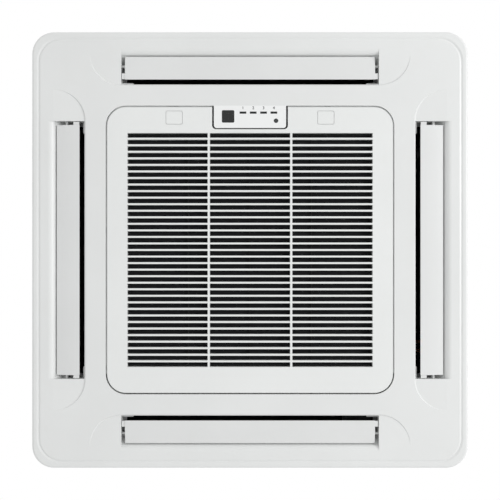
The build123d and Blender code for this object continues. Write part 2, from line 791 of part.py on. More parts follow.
with BuildPart() as chassis_insulation:
    with BuildSketch(Plane.XY.offset(pan_z1)):
        casing_outline(sheet)
    extrude(amount=casing_z1 - sheet - pan_z1)
    with BuildSketch(Plane.XY.offset(pan_z1)):
        casing_outline(sheet + side_foam_t)
    extrude(amount=inner_top - pan_z1, mode=Mode.SUBTRACT)
    with BuildSketch(Plane.YZ.offset(foam_half - 1)):
        with Locations((plate_y, plate_z)):
            Rectangle(plate_w - 20, plate_h - 20)
    extrude(amount=side_foam_t + 2, mode=Mode.SUBTRACT)
    with BuildSketch(Plane.XZ.offset(-body_half)):
        with Locations((drain_x, drain_z)):
            Circle(drain_port_r + 1)
    extrude(amount=side_foam_t + 4, mode=Mode.SUBTRACT)
    with BuildSketch(Plane.YZ.offset(foam_half - 1)):
        with Locations((-plate_y, plate_z)):
            Rectangle(2 * entry_half, 2 * entry_half)
    extrude(amount=side_foam_t + 2, mode=Mode.SUBTRACT)
chassis_insulation.part.label = "chassis_insulation"
export_step(chassis_insulation.part, "parts/chassis_insulation.step")

# Hanger lugs on the cut corners: a bolted plate, a slotted shelf and two gussets
lug_reach = hanger_pitch / sqrt(2) - chamfer_at + 34
lug_h = 70
with BuildPart() as hanger_brackets:
    for turn in corner_turns:
        with BuildSketch(corner_plane(turn, chamfer_at, hanger_z + lug_h / 2)):
            Rectangle(hanger_w, lug_h)
        extrude(amount=hanger_t)
        with BuildSketch(Plane.XY.offset(hanger_z).rotated((0, 0, turn))):
            with Locations((chamfer_at + lug_reach / 2, 0)):
                Rectangle(lug_reach, hanger_w)
        extrude(amount=hanger_t)
        for edge in (-1, 1):
            wall = hanger_w / 2 - hanger_t / 2
            a = radians(turn)
            across = Vector(-sin(a), cos(a), 0)
            ahead = Vector(cos(a), sin(a), 0)
            gusset = Plane(
                origin=across * (edge * wall) + Vector(0, 0, hanger_z),
                x_dir=ahead,
                z_dir=ahead.cross(Vector(0, 0, 1)),
            )
            with BuildSketch(gusset):
                Polygon(
                    (chamfer_at, 0),
                    (chamfer_at + lug_reach, 0),
                    (chamfer_at + lug_reach, 10),
                    (chamfer_at + hanger_t, lug_h - 4),
                    (chamfer_at, lug_h - 4),
                    align=None,
                )
            extrude(amount=hanger_t / 2, both=True)
    with BuildSketch(Plane.XY.offset(hanger_z - 1)):
        with GridLocations(hanger_pitch, hanger_pitch, 2, 2):
            SlotOverall(hanger_slot_l, hanger_slot_w)
    extrude(amount=hanger_t + 2, mode=Mode.SUBTRACT)
hanger_brackets.part.label = "hanger_brackets"
export_step(hanger_brackets.part, "parts/hanger_brackets.step")

bolt_r = 5
with BuildPart() as bracket_bolts:
    for turn in corner_turns:
        with BuildSketch(corner_plane(turn, chamfer_at + hanger_t, hanger_z + lug_h / 2 + 6)):
            with GridLocations(hanger_w * 0.5, lug_h * 0.5, 2, 2):
                RegularPolygon(bolt_r, 6)
        extrude(amount=3)
bracket_bolts.part.label = "bracket_bolts"
export_step(bracket_bolts.part, "parts/bracket_bolts.step")

# Straps under the drain pan: the panel's screws end in them
with BuildPart() as pan_straps:
    for turn in corner_turns:
        with BuildSketch(Plane.XY.offset(strap_z0).rotated((0, 0, turn))):
            start = boss_at * sqrt(2) - strap_w / 2
            with Locations(((start + chamfer_at + strap_t) / 2, 0)):
                Rectangle(chamfer_at + strap_t - start, strap_w)
            with Locations((boss_at * sqrt(2), 0)):
                Rectangle(2 * panel_screw_r, 2 * panel_screw_r, mode=Mode.SUBTRACT)
            # window for the drain plug: all four straps are the same stamping
            with Locations((pump_at * sqrt(2), 0)):
                RegularPolygon(plug_r + plug_play, 6, mode=Mode.SUBTRACT)
        extrude(amount=strap_t)
        with BuildSketch(corner_plane(turn, chamfer_at, strap_z0 + strap_w * 0.35)):
            Rectangle(strap_w, strap_w * 0.7)
        extrude(amount=strap_t)
pan_straps.part.label = "pan_straps"
export_step(pan_straps.part, "parts/pan_straps.step")

# Long screws from the ledge up into the straps
head_r = panel_screw_r * 2
head_h = 3
with BuildPart() as panel_screws:
    with BuildSketch(Plane.XY.offset(ledge_z - head_h)):
        with GridLocations(2 * boss_at, 2 * boss_at, 2, 2):
            RegularPolygon(head_r, 6)
    extrude(amount=head_h)
    with BuildSketch(Plane.XY.offset(ledge_z)):
        with GridLocations(2 * boss_at, 2 * boss_at, 2, 2):
            RegularPolygon(panel_screw_r, 6)
    extrude(amount=pan_z0 - ledge_z)
panel_screws.part.label = "panel_screws"
export_step(panel_screws.part, "parts/panel_screws.step")

# ==== drain pan ===============================================================
with BuildPart() as drain_pan:
    with BuildSketch(Plane.XY.offset(pan_z0)):
        casing_outline(sheet + seat)
    extrude(amount=pan_h)
    with BuildSketch(Plane.XY.offset(pan_z0)):
        rounded_square(pan_opening, 30)
        corner_fill = (coil_in + coil_end) / sqrt(2) - corner_back
        with Locations(Rot(0, 0, 45)):
            with Locations((corner_fill + pan_opening / 2, 0)):
                Rectangle(pan_opening, 2 * pan_opening, mode=Mode.SUBTRACT)
    extrude(amount=pan_h, mode=Mode.SUBTRACT)
    with BuildSketch(Plane.XY.offset(pan_z0)):
        rounded_square(pan_opening + mouth_rebate, 30 + mouth_rebate)
    extrude(amount=mouth_recess + mouth_sheet, mode=Mode.SUBTRACT)
    # trough under the coil
    with BuildSketch(Plane.XY.offset(trough_z)):
        rounded_square(coil_out + trough_play, coil_bend_r + coil_depth)
        rounded_square(coil_in - trough_play, coil_bend_r)
        RectangleRounded(
            2 * (coil_in - trough_play),
            2 * (coil_in - trough_play),
            coil_bend_r,
            mode=Mode.SUBTRACT,
        )
    extrude(amount=trough_d, mode=Mode.SUBTRACT)
    # ribs that carry the coil above the water
    with BuildSketch(Plane.XY.offset(trough_z)):
        with PolarLocations((coil_in + coil_out) / 2, 4):
            with GridLocations(0, coil_end, 1, 3):
                Rectangle(coil_depth + 2 * trough_play, 6)
    extrude(amount=coil_foot)
    # outlets
    with BuildSketch(Plane.XY.offset(pan_z0)):
        with PolarLocations((duct_in + duct_out) / 2, 4):
            Rectangle(duct_out - duct_in, outlet_len)
    extrude(amount=pan_h, mode=Mode.SUBTRACT)
    # sump under the pump, and the drain plug's hole
    with BuildSketch(Plane.XY.offset(trough_z - sump_d)):
        with Locations((pump_at, pump_at)):
            Circle(sump_r)
    extrude(amount=trough_d + sump_d, mode=Mode.SUBTRACT)
    with BuildSketch(Plane.XY.offset(pan_z0)):
        with Locations((pump_at, pump_at)):
            Circle(plug_r * 0.6)
    extrude(amount=pan_h, mode=Mode.SUBTRACT)
drain_pan.part.label = "drain_pan"
export_step(drain_pan.part, "parts/drain_pan.step")

with BuildPart() as drain_plug:
    with BuildSketch(Plane.XY.offset(pan_z0 - 3)):
        with Locations((pump_at, pump_at)):
            RegularPolygon(plug_r, 6)
    extrude(amount=3)
    with BuildSketch(Plane.XY.offset(pan_z0)):
        with Locations((pump_at, pump_at)):
            Circle(plug_r * 0.6 - fit)
    extrude(amount=trough_z - sump_d - pan_z0)
drain_plug.part.label = "drain_plug"
export_step(drain_plug.part, "parts/drain_plug.step")

# ==== coil: a finned block bent round three corners ===========================
with BuildPart() as coil_fins:
    with BuildSketch(Plane.XY.offset(coil_z0)):
        rounded_square(coil_out, coil_bend_r + coil_depth)
        RectangleRounded(2 * coil_in, 2 * coil_in, coil_bend_r, mode=Mode.SUBTRACT)
        with Locations((coil_end + body_half / 2, coil_end + body_half / 2)):
            Rectangle(body_half, body_half, mode=Mode.SUBTRACT)
    extrude(amount=inner_top - coil_z0)
coil_fins.part.label = "coil_fins"
export_step(coil_fins.part, "parts/coil_fins.step")

coil_h = inner_top - coil_z0
coil_ends = (
    Plane(origin=(coil_mid, coil_end, coil_z0 + coil_h / 2), x_dir=(1, 0, 0), z_dir=(0, 1, 0)),
    Plane(origin=(coil_end, coil_mid, coil_z0 + coil_h / 2), x_dir=(0, 1, 0), z_dir=(1, 0, 0)),
)
with BuildPart() as coil_end_plates:
    for end_plane in coil_ends:
        with BuildSketch(end_plane):
            Rectangle(coil_depth + 2, coil_h)
        extrude(amount=end_plate_t)
coil_end_plates.part.label = "coil_end_plates"
export_step(coil_end_plates.part, "parts/coil_end_plates.step")

# Return bends that join one tube row to the next
bend_reach = coil_depth / 4
with BuildPart() as coil_return_bends:
    for end_plane in coil_ends[1:]:
        for row in range(tube_rows):
            up = (row - (tube_rows - 1) / 2) * tube_pitch
            low = end_plane.offset(end_plate_t).from_local_coords((-bend_reach, up, 0))
            out = end_plane.z_dir * bend_reach
            over = end_plane.x_dir * (2 * bend_reach)
            with BuildLine():
                Polyline(low, low + out, low + out + over, low + over)
            with BuildSketch(Plane(origin=low, z_dir=end_plane.z_dir)):
                Circle(tube_r)
            sweep(transition=Transition.RIGHT)
coil_return_bends.part.label = "coil_return_bends"
export_step(coil_return_bends.part, "parts/coil_return_bends.step")

# Plate that closes the open corner, so air can't pass beside the coil
baffle_t = 1.5
baffle_from = coil_end + end_plate_t
baffle_skew = baffle_t * sqrt(2)
with BuildPart() as coil_baffle:
    with BuildSketch(Plane.XY.offset(pan_z1)):
        Polygon(
            (coil_in, baffle_from),
            (coil_in + baffle_skew, baffle_from),
            (baffle_from, coil_in + baffle_skew),
            (baffle_from, coil_in),
            align=None,
        )
    extrude(amount=inner_top - pan_z1)
coil_baffle.part.label = "coil_baffle"
export_step(coil_baffle.part, "parts/coil_baffle.step")

# ==== fan: shroud, backswept blades and a backplate with a deep hub ===============
shroud_rise = (fan_r - eye_r) * 0.55
shroud_lip = mouth_lap + 4
blade_r = fan_r - 2
backplate_z = fan_z1 - fan_sheet
blade_in = eye_r - 18
boss_z1 = fan_z1 - hub_drop - 2
boss_z0 = boss_z1 - boss_h
motor_z0 = fan_z1 - hub_drop + 6


def blade_outline(r_in, lead):
    """Long thin blade section that trails back from its inner end to the rim."""
    a = radians(-lead)
    b = radians(-lead - blade_sweep)
    tip = Vector(blade_r * cos(b), blade_r * sin(b))
    root = Vector(r_in * cos(a), r_in * sin(a))
    chord = tip - root
    side_way = Vector(-chord.Y, chord.X).normalized()
    middle = (root + tip) / 2 + side_way * chord.length * 0.14
    with BuildLine() as outline:
        ThreePointArc(root, middle + side_way * blade_t / 2, tip)
        ThreePointArc(tip, middle - side_way * blade_t / 2, root)
    make_face(outline.edges())


shroud_points = (
    (eye_r, fan_z0),
    (eye_r, fan_z0 + shroud_lip),
    (fan_r, fan_z0 + shroud_lip + shroud_rise),
)
with BuildPart() as turbo_fan:
    with BuildSketch(Plane.XY.offset(fan_z0 + shroud_lip)):
        for blade in range(blade_count):
            blade_outline(blade_in, 360 / blade_count * blade)
    extrude(amount=fan_h - shroud_lip)
    # the blades fill only the room above the shroud
    with BuildSketch(Plane.XZ):
        Polygon(
            (fan_r, fan_z0),
            (fan_r, fan_z0 + shroud_lip + shroud_rise),
            (eye_r, fan_z0 + shroud_lip),
            (eye_r, fan_z0),
            align=None,
        )
    revolve(axis=Axis.Z, mode=Mode.SUBTRACT)
    # shroud
    with BuildSketch(Plane.XZ):
        with BuildLine():
            Polyline(*shroud_points)
        trace(line_width=fan_sheet)
    revolve(axis=Axis.Z)
    # backplate, hub cup and boss
    with BuildSketch(Plane.XZ):
        with BuildLine():
            Polyline(
                (fan_r, backplate_z + fan_sheet / 2),
                (hub_r, backplate_z + fan_sheet / 2),
                (hub_r, boss_z1 - fan_sheet / 2),
                (shaft_r + 9, boss_z1 - fan_sheet / 2),
            )
        trace(line_width=fan_sheet)
        with Locations((shaft_r + 5, boss_z1 - boss_h / 2)):
            Rectangle(10, boss_h)
    revolve(axis=Axis.Z)
turbo_fan.part.label = "turbo_fan"
export_step(turbo_fan.part, "parts/turbo_fan.step")

with BuildPart() as motor_shaft:
    with BuildSketch(Plane.XY.offset(boss_z0 - nut_h - 4)):
        Circle(shaft_r)
    extrude(amount=motor_z0 + motor_h * 0.5 - boss_z0 + nut_h + 4)
motor_shaft.part.label = "motor_shaft"
export_step(motor_shaft.part, "parts/motor_shaft.step")

with BuildPart() as fan_nut:
    with BuildSketch(Plane.XY.offset(boss_z0 - nut_h)):
        RegularPolygon(nut_af / 2, 6, major_radius=False)
        Circle(shaft_r + fit, mode=Mode.SUBTRACT)
    extrude(amount=nut_h)
fan_nut.part.label = "fan_nut"
export_step(fan_nut.part, "parts/fan_nut.step")

# ==== motor, hung from a plate under the top insulation =======================
plate_half = motor_r + 36
plate_t = 2.5
ear_t = 3
mount_r = 11
mount_at = motor_r + 18
motor_top = fan_z1 + ear_t + 4
with BuildPart() as fan_motor:
    with BuildSketch(Plane.XY.offset(motor_z0)):
        Circle(motor_r)
    extrude(amount=motor_top - motor_z0)
    with BuildSketch(Plane.XY.offset(motor_top - ear_t)):
        with PolarLocations(0, 2, 45):
            Rectangle(2 * (mount_at + mount_r), 2 * mount_r)
    extrude(amount=ear_t)
    with BuildSketch(Plane.XY.offset(motor_z0)):
        Circle(shaft_r + hinge_play)
    extrude(amount=motor_h * 0.55, mode=Mode.SUBTRACT)
fan_motor.part.label = "fan_motor"
export_step(fan_motor.part, "parts/fan_motor.step")

with BuildPart() as motor_mounts:
    with BuildSketch(Plane.XY.offset(motor_top)):
        with PolarLocations(mount_at, 4, 45):
            Rectangle(1.6 * mount_r, 1.6 * mount_r)
    extrude(amount=inner_top - plate_t - motor_top)
motor_mounts.part.label = "motor_mounts"
export_step(motor_mounts.part, "parts/motor_mounts.step")

with BuildPart() as motor_plate:
    with BuildSketch(Plane.XY.offset(inner_top - plate_t)):
        Rectangle(2 * plate_half, 2 * plate_half)
    extrude(amount=plate_t)
    with BuildSketch(Plane.XY.offset(inner_top - plate_t - 4)):
        with GridLocations(2 * plate_half - plate_t, 0, 2, 1):
            Rectangle(plate_t, plate_half)
    extrude(amount=4)
motor_plate.part.label = "motor_plate"
export_step(motor_plate.part, "parts/motor_plate.step")

# ==== bell mouth: a square plate drawn up into a round throat =================
mouth_half = pan_opening + mouth_rebate - seat
screw_at = mouth_half - 8
with BuildPart() as bell_mouth:
    with BuildSketch(Plane.XY.offset(mouth_z)):
        rounded_square(mouth_half, 30 + mouth_rebate)
        Circle(mouth_r + mouth_flare, mode=Mode.SUBTRACT)
    extrude(amount=mouth_sheet)
    with BuildSketch(Plane.XZ):
        with BuildLine():
            level = mouth_z + mouth_sheet / 2
            Polyline(
                (mouth_r + mouth_flare + 1, level),
                (mouth_r + mouth_flare * 0.6, level),
                (mouth_r, level + mouth_flare * 0.8),
                (mouth_r, mouth_top),
            )
        trace(line_width=mouth_sheet)
    revolve(axis=Axis.Z)
bell_mouth.part.label = "bell_mouth"
export_step(bell_mouth.part, "parts/bell_mouth.step")

with BuildPart() as bell_mouth_screws:
    with BuildSketch(Plane.XY.offset(mouth_z)):
        with GridLocations(2 * screw_at, screw_at * 0.7, 2, 3):
            RegularPolygon(4, 6)
    extrude(amount=-2.4)
bell_mouth_screws.part.label = "bell_mouth_screws"
export_step(bell_mouth_screws.part, "parts/bell_mouth_screws.step")

# ==== control box under the bell mouth plate ==================================
box_y = mouth_half - box_inset - box_len / 2
box_z1 = mouth_z
box_z0 = box_z1 - box_h
with BuildPart() as control_box:
    with BuildSketch(Plane.XY.offset(box_z0 + box_wall)):
        with Locations((0, box_y)):
            Rectangle(box_w, box_len)
    extrude(amount=box_h - box_wall)
    offset(amount=-box_wall, openings=control_box.faces().sort_by(Axis.Z)[0])
control_box.part.label = "control_box"
export_step(control_box.part, "parts/control_box.step")

with BuildPart() as control_box_cover:
    with BuildSketch(Plane.XY.offset(box_z0)):
        with Locations((0, box_y)):
            Rectangle(box_w, box_len)
    extrude(amount=box_wall)
    with BuildSketch(Plane.XY.offset(box_z0 + box_wall)):
        with Locations((0, box_y)):
            Rectangle(box_w - 2 * box_wall - 2 * seat, box_len - 2 * box_wall - 2 * seat)
            Rectangle(box_w - 4 * box_wall - 2 * seat, box_len - 4 * box_wall - 2 * seat, mode=Mode.SUBTRACT)
    extrude(amount=4)
    with BuildSketch(Plane.XY.offset(box_z0)):
        with Locations((0, box_y)):
            with GridLocations(box_w * 0.85, 0, 2, 1):
                RegularPolygon(3.5, 6)
    extrude(amount=-1.5)
control_box_cover.part.label = "control_box_cover"
export_step(control_box_cover.part, "parts/control_box_cover.step")

board_top = box_z1 - box_wall - 6
with BuildPart() as control_board:
    with BuildSketch(Plane.XY.offset(board_top - 1.6)):
        with Locations((-box_w * 0.12, box_y)):
            Rectangle(box_w * 0.66, box_len * 0.8)
    extrude(amount=1.6)
    with BuildSketch(Plane.XY.offset(board_top)):
        with Locations((-box_w * 0.12, box_y)):
            with GridLocations(box_w * 0.55, box_len * 0.6, 2, 2):
                Rectangle(5, 5)
    extrude(amount=6)
    # a transformer, two capacitors and a row of relays
    with BuildSketch(Plane.XY.offset(board_top - 1.6)):
        with Locations((-box_w * 0.34, box_y)):
            Rectangle(box_w * 0.12, box_len * 0.45)
        with Locations((box_w * 0.02, box_y + box_len * 0.2)):
            with GridLocations(box_w * 0.08, 0, 3, 1):
                Rectangle(box_w * 0.06, box_len * 0.2)
    extrude(amount=-9)
    with BuildSketch(Plane.XY.offset(board_top - 1.6)):
        with Locations((-box_w * 0.18, box_y - box_len * 0.15)):
            with GridLocations(box_w * 0.09, 0, 2, 1):
                Circle(box_w * 0.03)
    extrude(amount=-12)
control_board.part.label = "control_board"
export_step(control_board.part, "parts/control_board.step")

with BuildPart() as terminal_block:
    with BuildSketch(Plane.XY.offset(box_z1 - box_wall - 14)):
        with Locations((box_w * 0.36, box_y)):
            Rectangle(box_w * 0.1, box_len * 0.7)
    extrude(amount=14)
    with BuildSketch(Plane.XY.offset(box_z1 - box_wall - 14)):
        with Locations((box_w * 0.36, box_y)):
            with GridLocations(box_w * 0.05, box_len * 0.13, 2, 5):
                Rectangle(box_w * 0.035, box_len * 0.09)
    extrude(amount=5, mode=Mode.SUBTRACT)
terminal_block.part.label = "terminal_block"
export_step(terminal_block.part, "parts/terminal_block.step")

# ==== refrigerant pipes =======================================================
gas_header_r = 9.5
liquid_header_r = 6
pipe_end = body_half + pipe_reach
end_face = coil_end + end_plate_t


def header_and_pipe(x, y, z, stub_z, header_r, pipe_r, wall):
    """Upright header with a stub to the coil and a pipe out through the casing."""
    with BuildPart() as header:
        with BuildSketch(Plane.XY.offset(coil_z0 + coil_h / 2 - tube_pitch * 0.9)):
            with Locations((x, y)):
                Circle(header_r)
        extrude(amount=tube_pitch * 1.8)
        with BuildSketch(Plane.XZ.offset(-y)):
            with Locations((x, stub_z)):
                Circle(tube_r)
        extrude(amount=y - end_face)
        with BuildSketch(Plane.YZ.offset(x)):
            with Locations((y, z)):
                Circle(pipe_r)
        extrude(amount=pipe_end - x)
        with BuildSketch(Plane.YZ.offset(pipe_end)):
            with Locations((y, z)):
                Circle(pipe_r - wall)
        extrude(amount=-pipe_reach, mode=Mode.SUBTRACT)
    return header.part


gas_x = coil_mid + coil_depth / 4
liquid_x = coil_mid - coil_depth / 4
coil_mid_z = coil_z0 + coil_h / 2
gas_stub_z = coil_mid_z + tube_pitch / 2
liquid_stub_z = coil_mid_z - tube_pitch / 2
gas_part = header_and_pipe(gas_x, gas_y, gas_pipe_z, gas_stub_z, gas_header_r, gas_pipe_r, 1)
gas_part.label = "gas_pipe"
export_step(gas_part, "parts/gas_pipe.step")

liquid_part = header_and_pipe(
    liquid_x, liquid_y, liquid_pipe_z, liquid_stub_z, liquid_header_r, liquid_pipe_r, 0.8
)
liquid_part.label = "liquid_pipe"
export_step(liquid_part, "parts/liquid_pipe.step")

with BuildPart() as flare_nuts:
    for nut_y, nut_z, pipe_r in ((gas_y, gas_pipe_z, gas_pipe_r), (liquid_y, liquid_pipe_z, liquid_pipe_r)):
        nut_back = pipe_end - pipe_reach * 0.55
        with BuildSketch(Plane.YZ.offset(nut_back)):
            with Locations((nut_y, nut_z)):
                RegularPolygon(pipe_r * 1.75, 6, major_radius=False)
                Circle(pipe_r + fit, mode=Mode.SUBTRACT)
        extrude(amount=pipe_r * 1.6)
flare_nuts.part.label = "flare_nuts"
export_step(flare_nuts.part, "parts/flare_nuts.step")

with BuildPart() as pipe_outlet_plate:
    with BuildSketch(Plane.YZ.offset(body_half)):
        with Locations((plate_y, plate_z)):
            Rectangle(plate_w, plate_h)
        with Locations((gas_y, gas_pipe_z)):
            Circle(gas_pipe_r + fit, mode=Mode.SUBTRACT)
        with Locations((liquid_y, liquid_pipe_z)):
            Circle(liquid_pipe_r + fit, mode=Mode.SUBTRACT)
    extrude(amount=2)
    with BuildSketch(Plane.YZ.offset(body_half + 2)):
        with Locations((plate_y, plate_z)):
            with GridLocations(plate_w - 12, plate_h - 12, 2, 2):
                RegularPolygon(4, 6)
    extrude(amount=2)
pipe_outlet_plate.part.label = "pipe_outlet_plate"
export_step(pipe_outlet_plate.part, "parts/pipe_outlet_plate.step")

with BuildPart() as cable_grommet:
    with BuildSketch(Plane.YZ.offset(body_half - sheet - 2)):
        with Locations((-plate_y, plate_z)):
            Rectangle(2 * (entry_half - fit), 2 * (entry_half - fit))
    extrude(amount=sheet + 2)
    with BuildSketch(Plane.YZ.offset(body_half)):
        with Locations((-plate_y, plate_z)):
            Rectangle(2 * entry_half + 10, 2 * entry_half + 10)
    extrude(amount=4)
    with BuildSketch(Plane.YZ.offset(body_half - sheet - 2)):
        with Locations((-plate_y, plate_z)):
            Circle(cable_r)
    extrude(amount=sheet + 6, mode=Mode.SUBTRACT)
cable_grommet.part.label = "cable_grommet"
export_step(cable_grommet.part, "parts/cable_grommet.step")

# ==== drain pump, float switch, hose and outlet ===============================
pump_r = 24
pump_head_z = trough_z + 18
pump_head_h = 22
bracket_z = pump_head_z + pump_head_h + 12
pump_motor_h = 42
spigot_r = 9
hose_r = 11
with BuildPart() as drain_pump:
    with BuildSketch(Plane.XY.offset(trough_z - sump_d + 6)):
        with Locations((pump_at, pump_at)):
            Circle(pump_r * 0.35)
    extrude(amount=bracket_z + 2 - trough_z + sump_d - 6)
    with BuildSketch(Plane.XY.offset(pump_head_z)):
        with Locations((pump_at, pump_at)):
            Circle(pump_r)
    extrude(amount=pump_head_h)
    with BuildSketch(Plane.XY.offset(bracket_z + 2)):
        with Locations((pump_at, pump_at)):
            Circle(pump_r)
    extrude(amount=pump_motor_h)
    # side arm with its riser and a spigot towards the wall
    with BuildSketch(Plane.XY.offset(pump_head_z)):
        with Locations(((drain_x + pump_at) / 2, pump_at)):
            Rectangle(pump_at - drain_x, 1.4 * spigot_r)
    extrude(amount=pump_head_h)
    with BuildSketch(Plane.XY.offset(pump_head_z)):
        with Locations((drain_x, pump_at)):
            Rectangle(2 * spigot_r, 2 * spigot_r)
    extrude(amount=drain_z + spigot_r - pump_head_z)
    with BuildSketch(Plane.XZ.offset(-pump_at)):
        with Locations((drain_x, drain_z)):
            Circle(spigot_r)
    extrude(amount=-(spigot_r + 16))
drain_pump.part.label = "drain_pump"
export_step(drain_pump.part, "parts/drain_pump.step")

float_x = coil_end + 28
float_r = 11
float_z = trough_z + 6
float_h = 20
float_travel = 12
with BuildPart() as pump_bracket:
    with BuildSketch(Plane.XY.offset(bracket_z)):
        Polygon(
            (float_x - 14, coil_mid - 14),
            (pump_at + 10, pump_at - pump_r - 4),
            (pump_at + pump_r + 2, pump_at - pump_r + 10),
            (pump_at + pump_r - 8, foam_half - 34),
            (drain_x + 26, foam_half),
            (float_x - 14, foam_half),
            align=None,
        )
        with Locations((pump_at, pump_at)):
            Circle(pump_r * 0.35 + fit, mode=Mode.SUBTRACT)
        with Locations((drain_x, pump_at)):
            Rectangle(2 * spigot_r + 2, 2 * spigot_r + 2, mode=Mode.SUBTRACT)
        with Locations((float_x, coil_mid)):
            Circle(3, mode=Mode.SUBTRACT)
    extrude(amount=2)
    with BuildSketch(Plane.XZ.offset(-foam_half + 2)):
        with Locations(((float_x + drain_x + 12) / 2, bracket_z + 15)):
            Rectangle(drain_x + 12 - float_x, 30)
    extrude(amount=2)
pump_bracket.part.label = "pump_bracket"
export_step(pump_bracket.part, "parts/pump_bracket.step")

with BuildPart() as float_switch:
    with BuildSketch(Plane.XY.offset(float_z - 3)):
        with Locations((float_x, coil_mid)):
            RegularPolygon(6, 6)
    extrude(amount=3 - seat)
    with BuildSketch(Plane.XY.offset(float_z - seat)):
        with Locations((float_x, coil_mid)):
            Circle(3 - fit)
    extrude(amount=bracket_z + 8 - float_z + seat)
    with BuildSketch(Plane.XY.offset(bracket_z + 2)):
        with Locations((float_x, coil_mid)):
            RegularPolygon(6, 6)
    extrude(amount=5)
float_switch.part.label = "float_switch"
export_step(float_switch.part, "parts/float_switch.step")

with BuildPart() as float_ring:
    with BuildSketch(Plane.XY.offset(float_z)):
        with Locations((float_x, coil_mid)):
            Circle(float_r)
            Circle(3 + seat, mode=Mode.SUBTRACT)
    extrude(amount=float_h)
float_ring.part.label = "float_ring"
export_step(float_ring.part, "parts/float_ring.step")

port_inner = foam_half - 8
hose_y = pump_at + spigot_r + seat
with BuildPart() as drain_hose:
    with BuildSketch(Plane.XZ.offset(-hose_y)):
        with Locations((drain_x, drain_z)):
            Circle(hose_r)
            Circle(spigot_r + fit, mode=Mode.SUBTRACT)
    extrude(amount=-(port_inner - hose_y))
drain_hose.part.label = "drain_hose"
export_step(drain_hose.part, "parts/drain_hose.step")

with BuildPart() as drain_port:
    with BuildSketch(Plane.XZ.offset(-port_inner)):
        with Locations((drain_x, drain_z)):
            Circle(drain_port_r)
            Circle(hose_r - 2, mode=Mode.SUBTRACT)
    extrude(amount=-(body_half + pipe_reach - port_inner))
    with BuildSketch(Plane.XZ.offset(-body_half)):
        with Locations((drain_x, drain_z)):
            Rectangle(2 * drain_port_r + 12, 2 * drain_port_r + 12)
            Circle(drain_port_r - 1, mode=Mode.SUBTRACT)
    extrude(amount=-2)
drain_port.part.label = "drain_port"
export_step(drain_port.part, "parts/drain_port.step")

# ==== foam strips between the panel and the drain pan =========================
with BuildPart() as panel_seal:
    with BuildSketch():
        for angle in side_angles.values():
            with Locations(Rot(0, 0, angle)):
                seal_in = outlet_in - seal_w
                seal_out = outlet_in + outlet_throat_w + seal_w
                with Locations(((seal_in + seal_out) / 2, 0)):
                    Rectangle(seal_out - seal_in, outlet_len + 2 * seal_w)
                with Locations((outlet_in + outlet_throat_w / 2, 0)):
                    Rectangle(outlet_throat_w, outlet_len, mode=Mode.SUBTRACT)
    extrude(amount=seal_t)
    with BuildSketch(Plane.XY.offset(collar_rise)):
        rounded_square(ledge_half + seal_w, 12 + seal_w)
        RectangleRounded(2 * ledge_half, 2 * ledge_half, 12, mode=Mode.SUBTRACT)
        with GridLocations(2 * boss_at, 2 * boss_at, 2, 2):
            Rectangle(2.6 * strap_w, 2.6 * strap_w, rotation=45, mode=Mode.SUBTRACT)
    extrude(amount=seal_t - collar_rise)
panel_seal.part.label = "panel_seal"
export_step(panel_seal.part, "parts/panel_seal.step")
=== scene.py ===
"""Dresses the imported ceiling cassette: materials, small pieces, lights, floor and camera."""
import math

import bmesh
import bpy
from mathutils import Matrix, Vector


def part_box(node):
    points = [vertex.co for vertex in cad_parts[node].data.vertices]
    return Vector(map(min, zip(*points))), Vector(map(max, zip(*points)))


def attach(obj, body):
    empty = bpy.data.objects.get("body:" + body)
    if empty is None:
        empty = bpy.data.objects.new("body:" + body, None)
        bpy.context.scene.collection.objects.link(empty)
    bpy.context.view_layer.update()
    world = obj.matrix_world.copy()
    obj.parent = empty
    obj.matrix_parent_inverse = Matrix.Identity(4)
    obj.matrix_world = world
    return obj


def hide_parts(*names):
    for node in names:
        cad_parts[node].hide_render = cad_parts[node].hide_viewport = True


bl_info = {
    "name": "Ceiling cassette dressing",
    "version": (1, 0, 0),
    "blender": (4, 5, 0),
    "location": "View3D > Sidebar > Cassette",
    "description": "Materials, small pieces and a stage for a ceiling cassette air conditioner",
    "category": "Object",
}

MM = 0.001
PLASTIC_IOR = 1.49
HARD_IOR = 1.5
SOFT_IOR = 1.45
WHITE = (1.0, 1.0, 1.0)
DUST_TINT = (0.955, 0.95, 0.935)

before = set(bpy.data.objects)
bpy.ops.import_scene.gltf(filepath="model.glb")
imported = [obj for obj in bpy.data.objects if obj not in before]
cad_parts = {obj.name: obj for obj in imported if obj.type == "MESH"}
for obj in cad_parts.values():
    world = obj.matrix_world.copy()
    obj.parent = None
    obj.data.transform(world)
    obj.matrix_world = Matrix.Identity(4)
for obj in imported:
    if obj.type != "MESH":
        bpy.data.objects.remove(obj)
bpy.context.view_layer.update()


# ---- nodes -------------------------------------------------------------------
def connect(tree, value, target):
    """Links a Sock to an input, or writes a plain value on it."""
    if isinstance(value, Sock):
        tree.links.new(value.socket, target)
    elif target.type == "RGBA":
        target.default_value = (*value, 1)
    else:
        target.default_value = value


def add_node(tree, kind, settings=None, sockets=None):
    """Adds a node: its type, its settings, then values or links by input name or number."""
    node = tree.nodes.new("ShaderNode" + kind)
    for key, value in (settings or {}).items():
        setattr(node, key, value)
    for key, value in (sockets or {}).items():
        connect(tree, value, node.inputs[key])
    return node


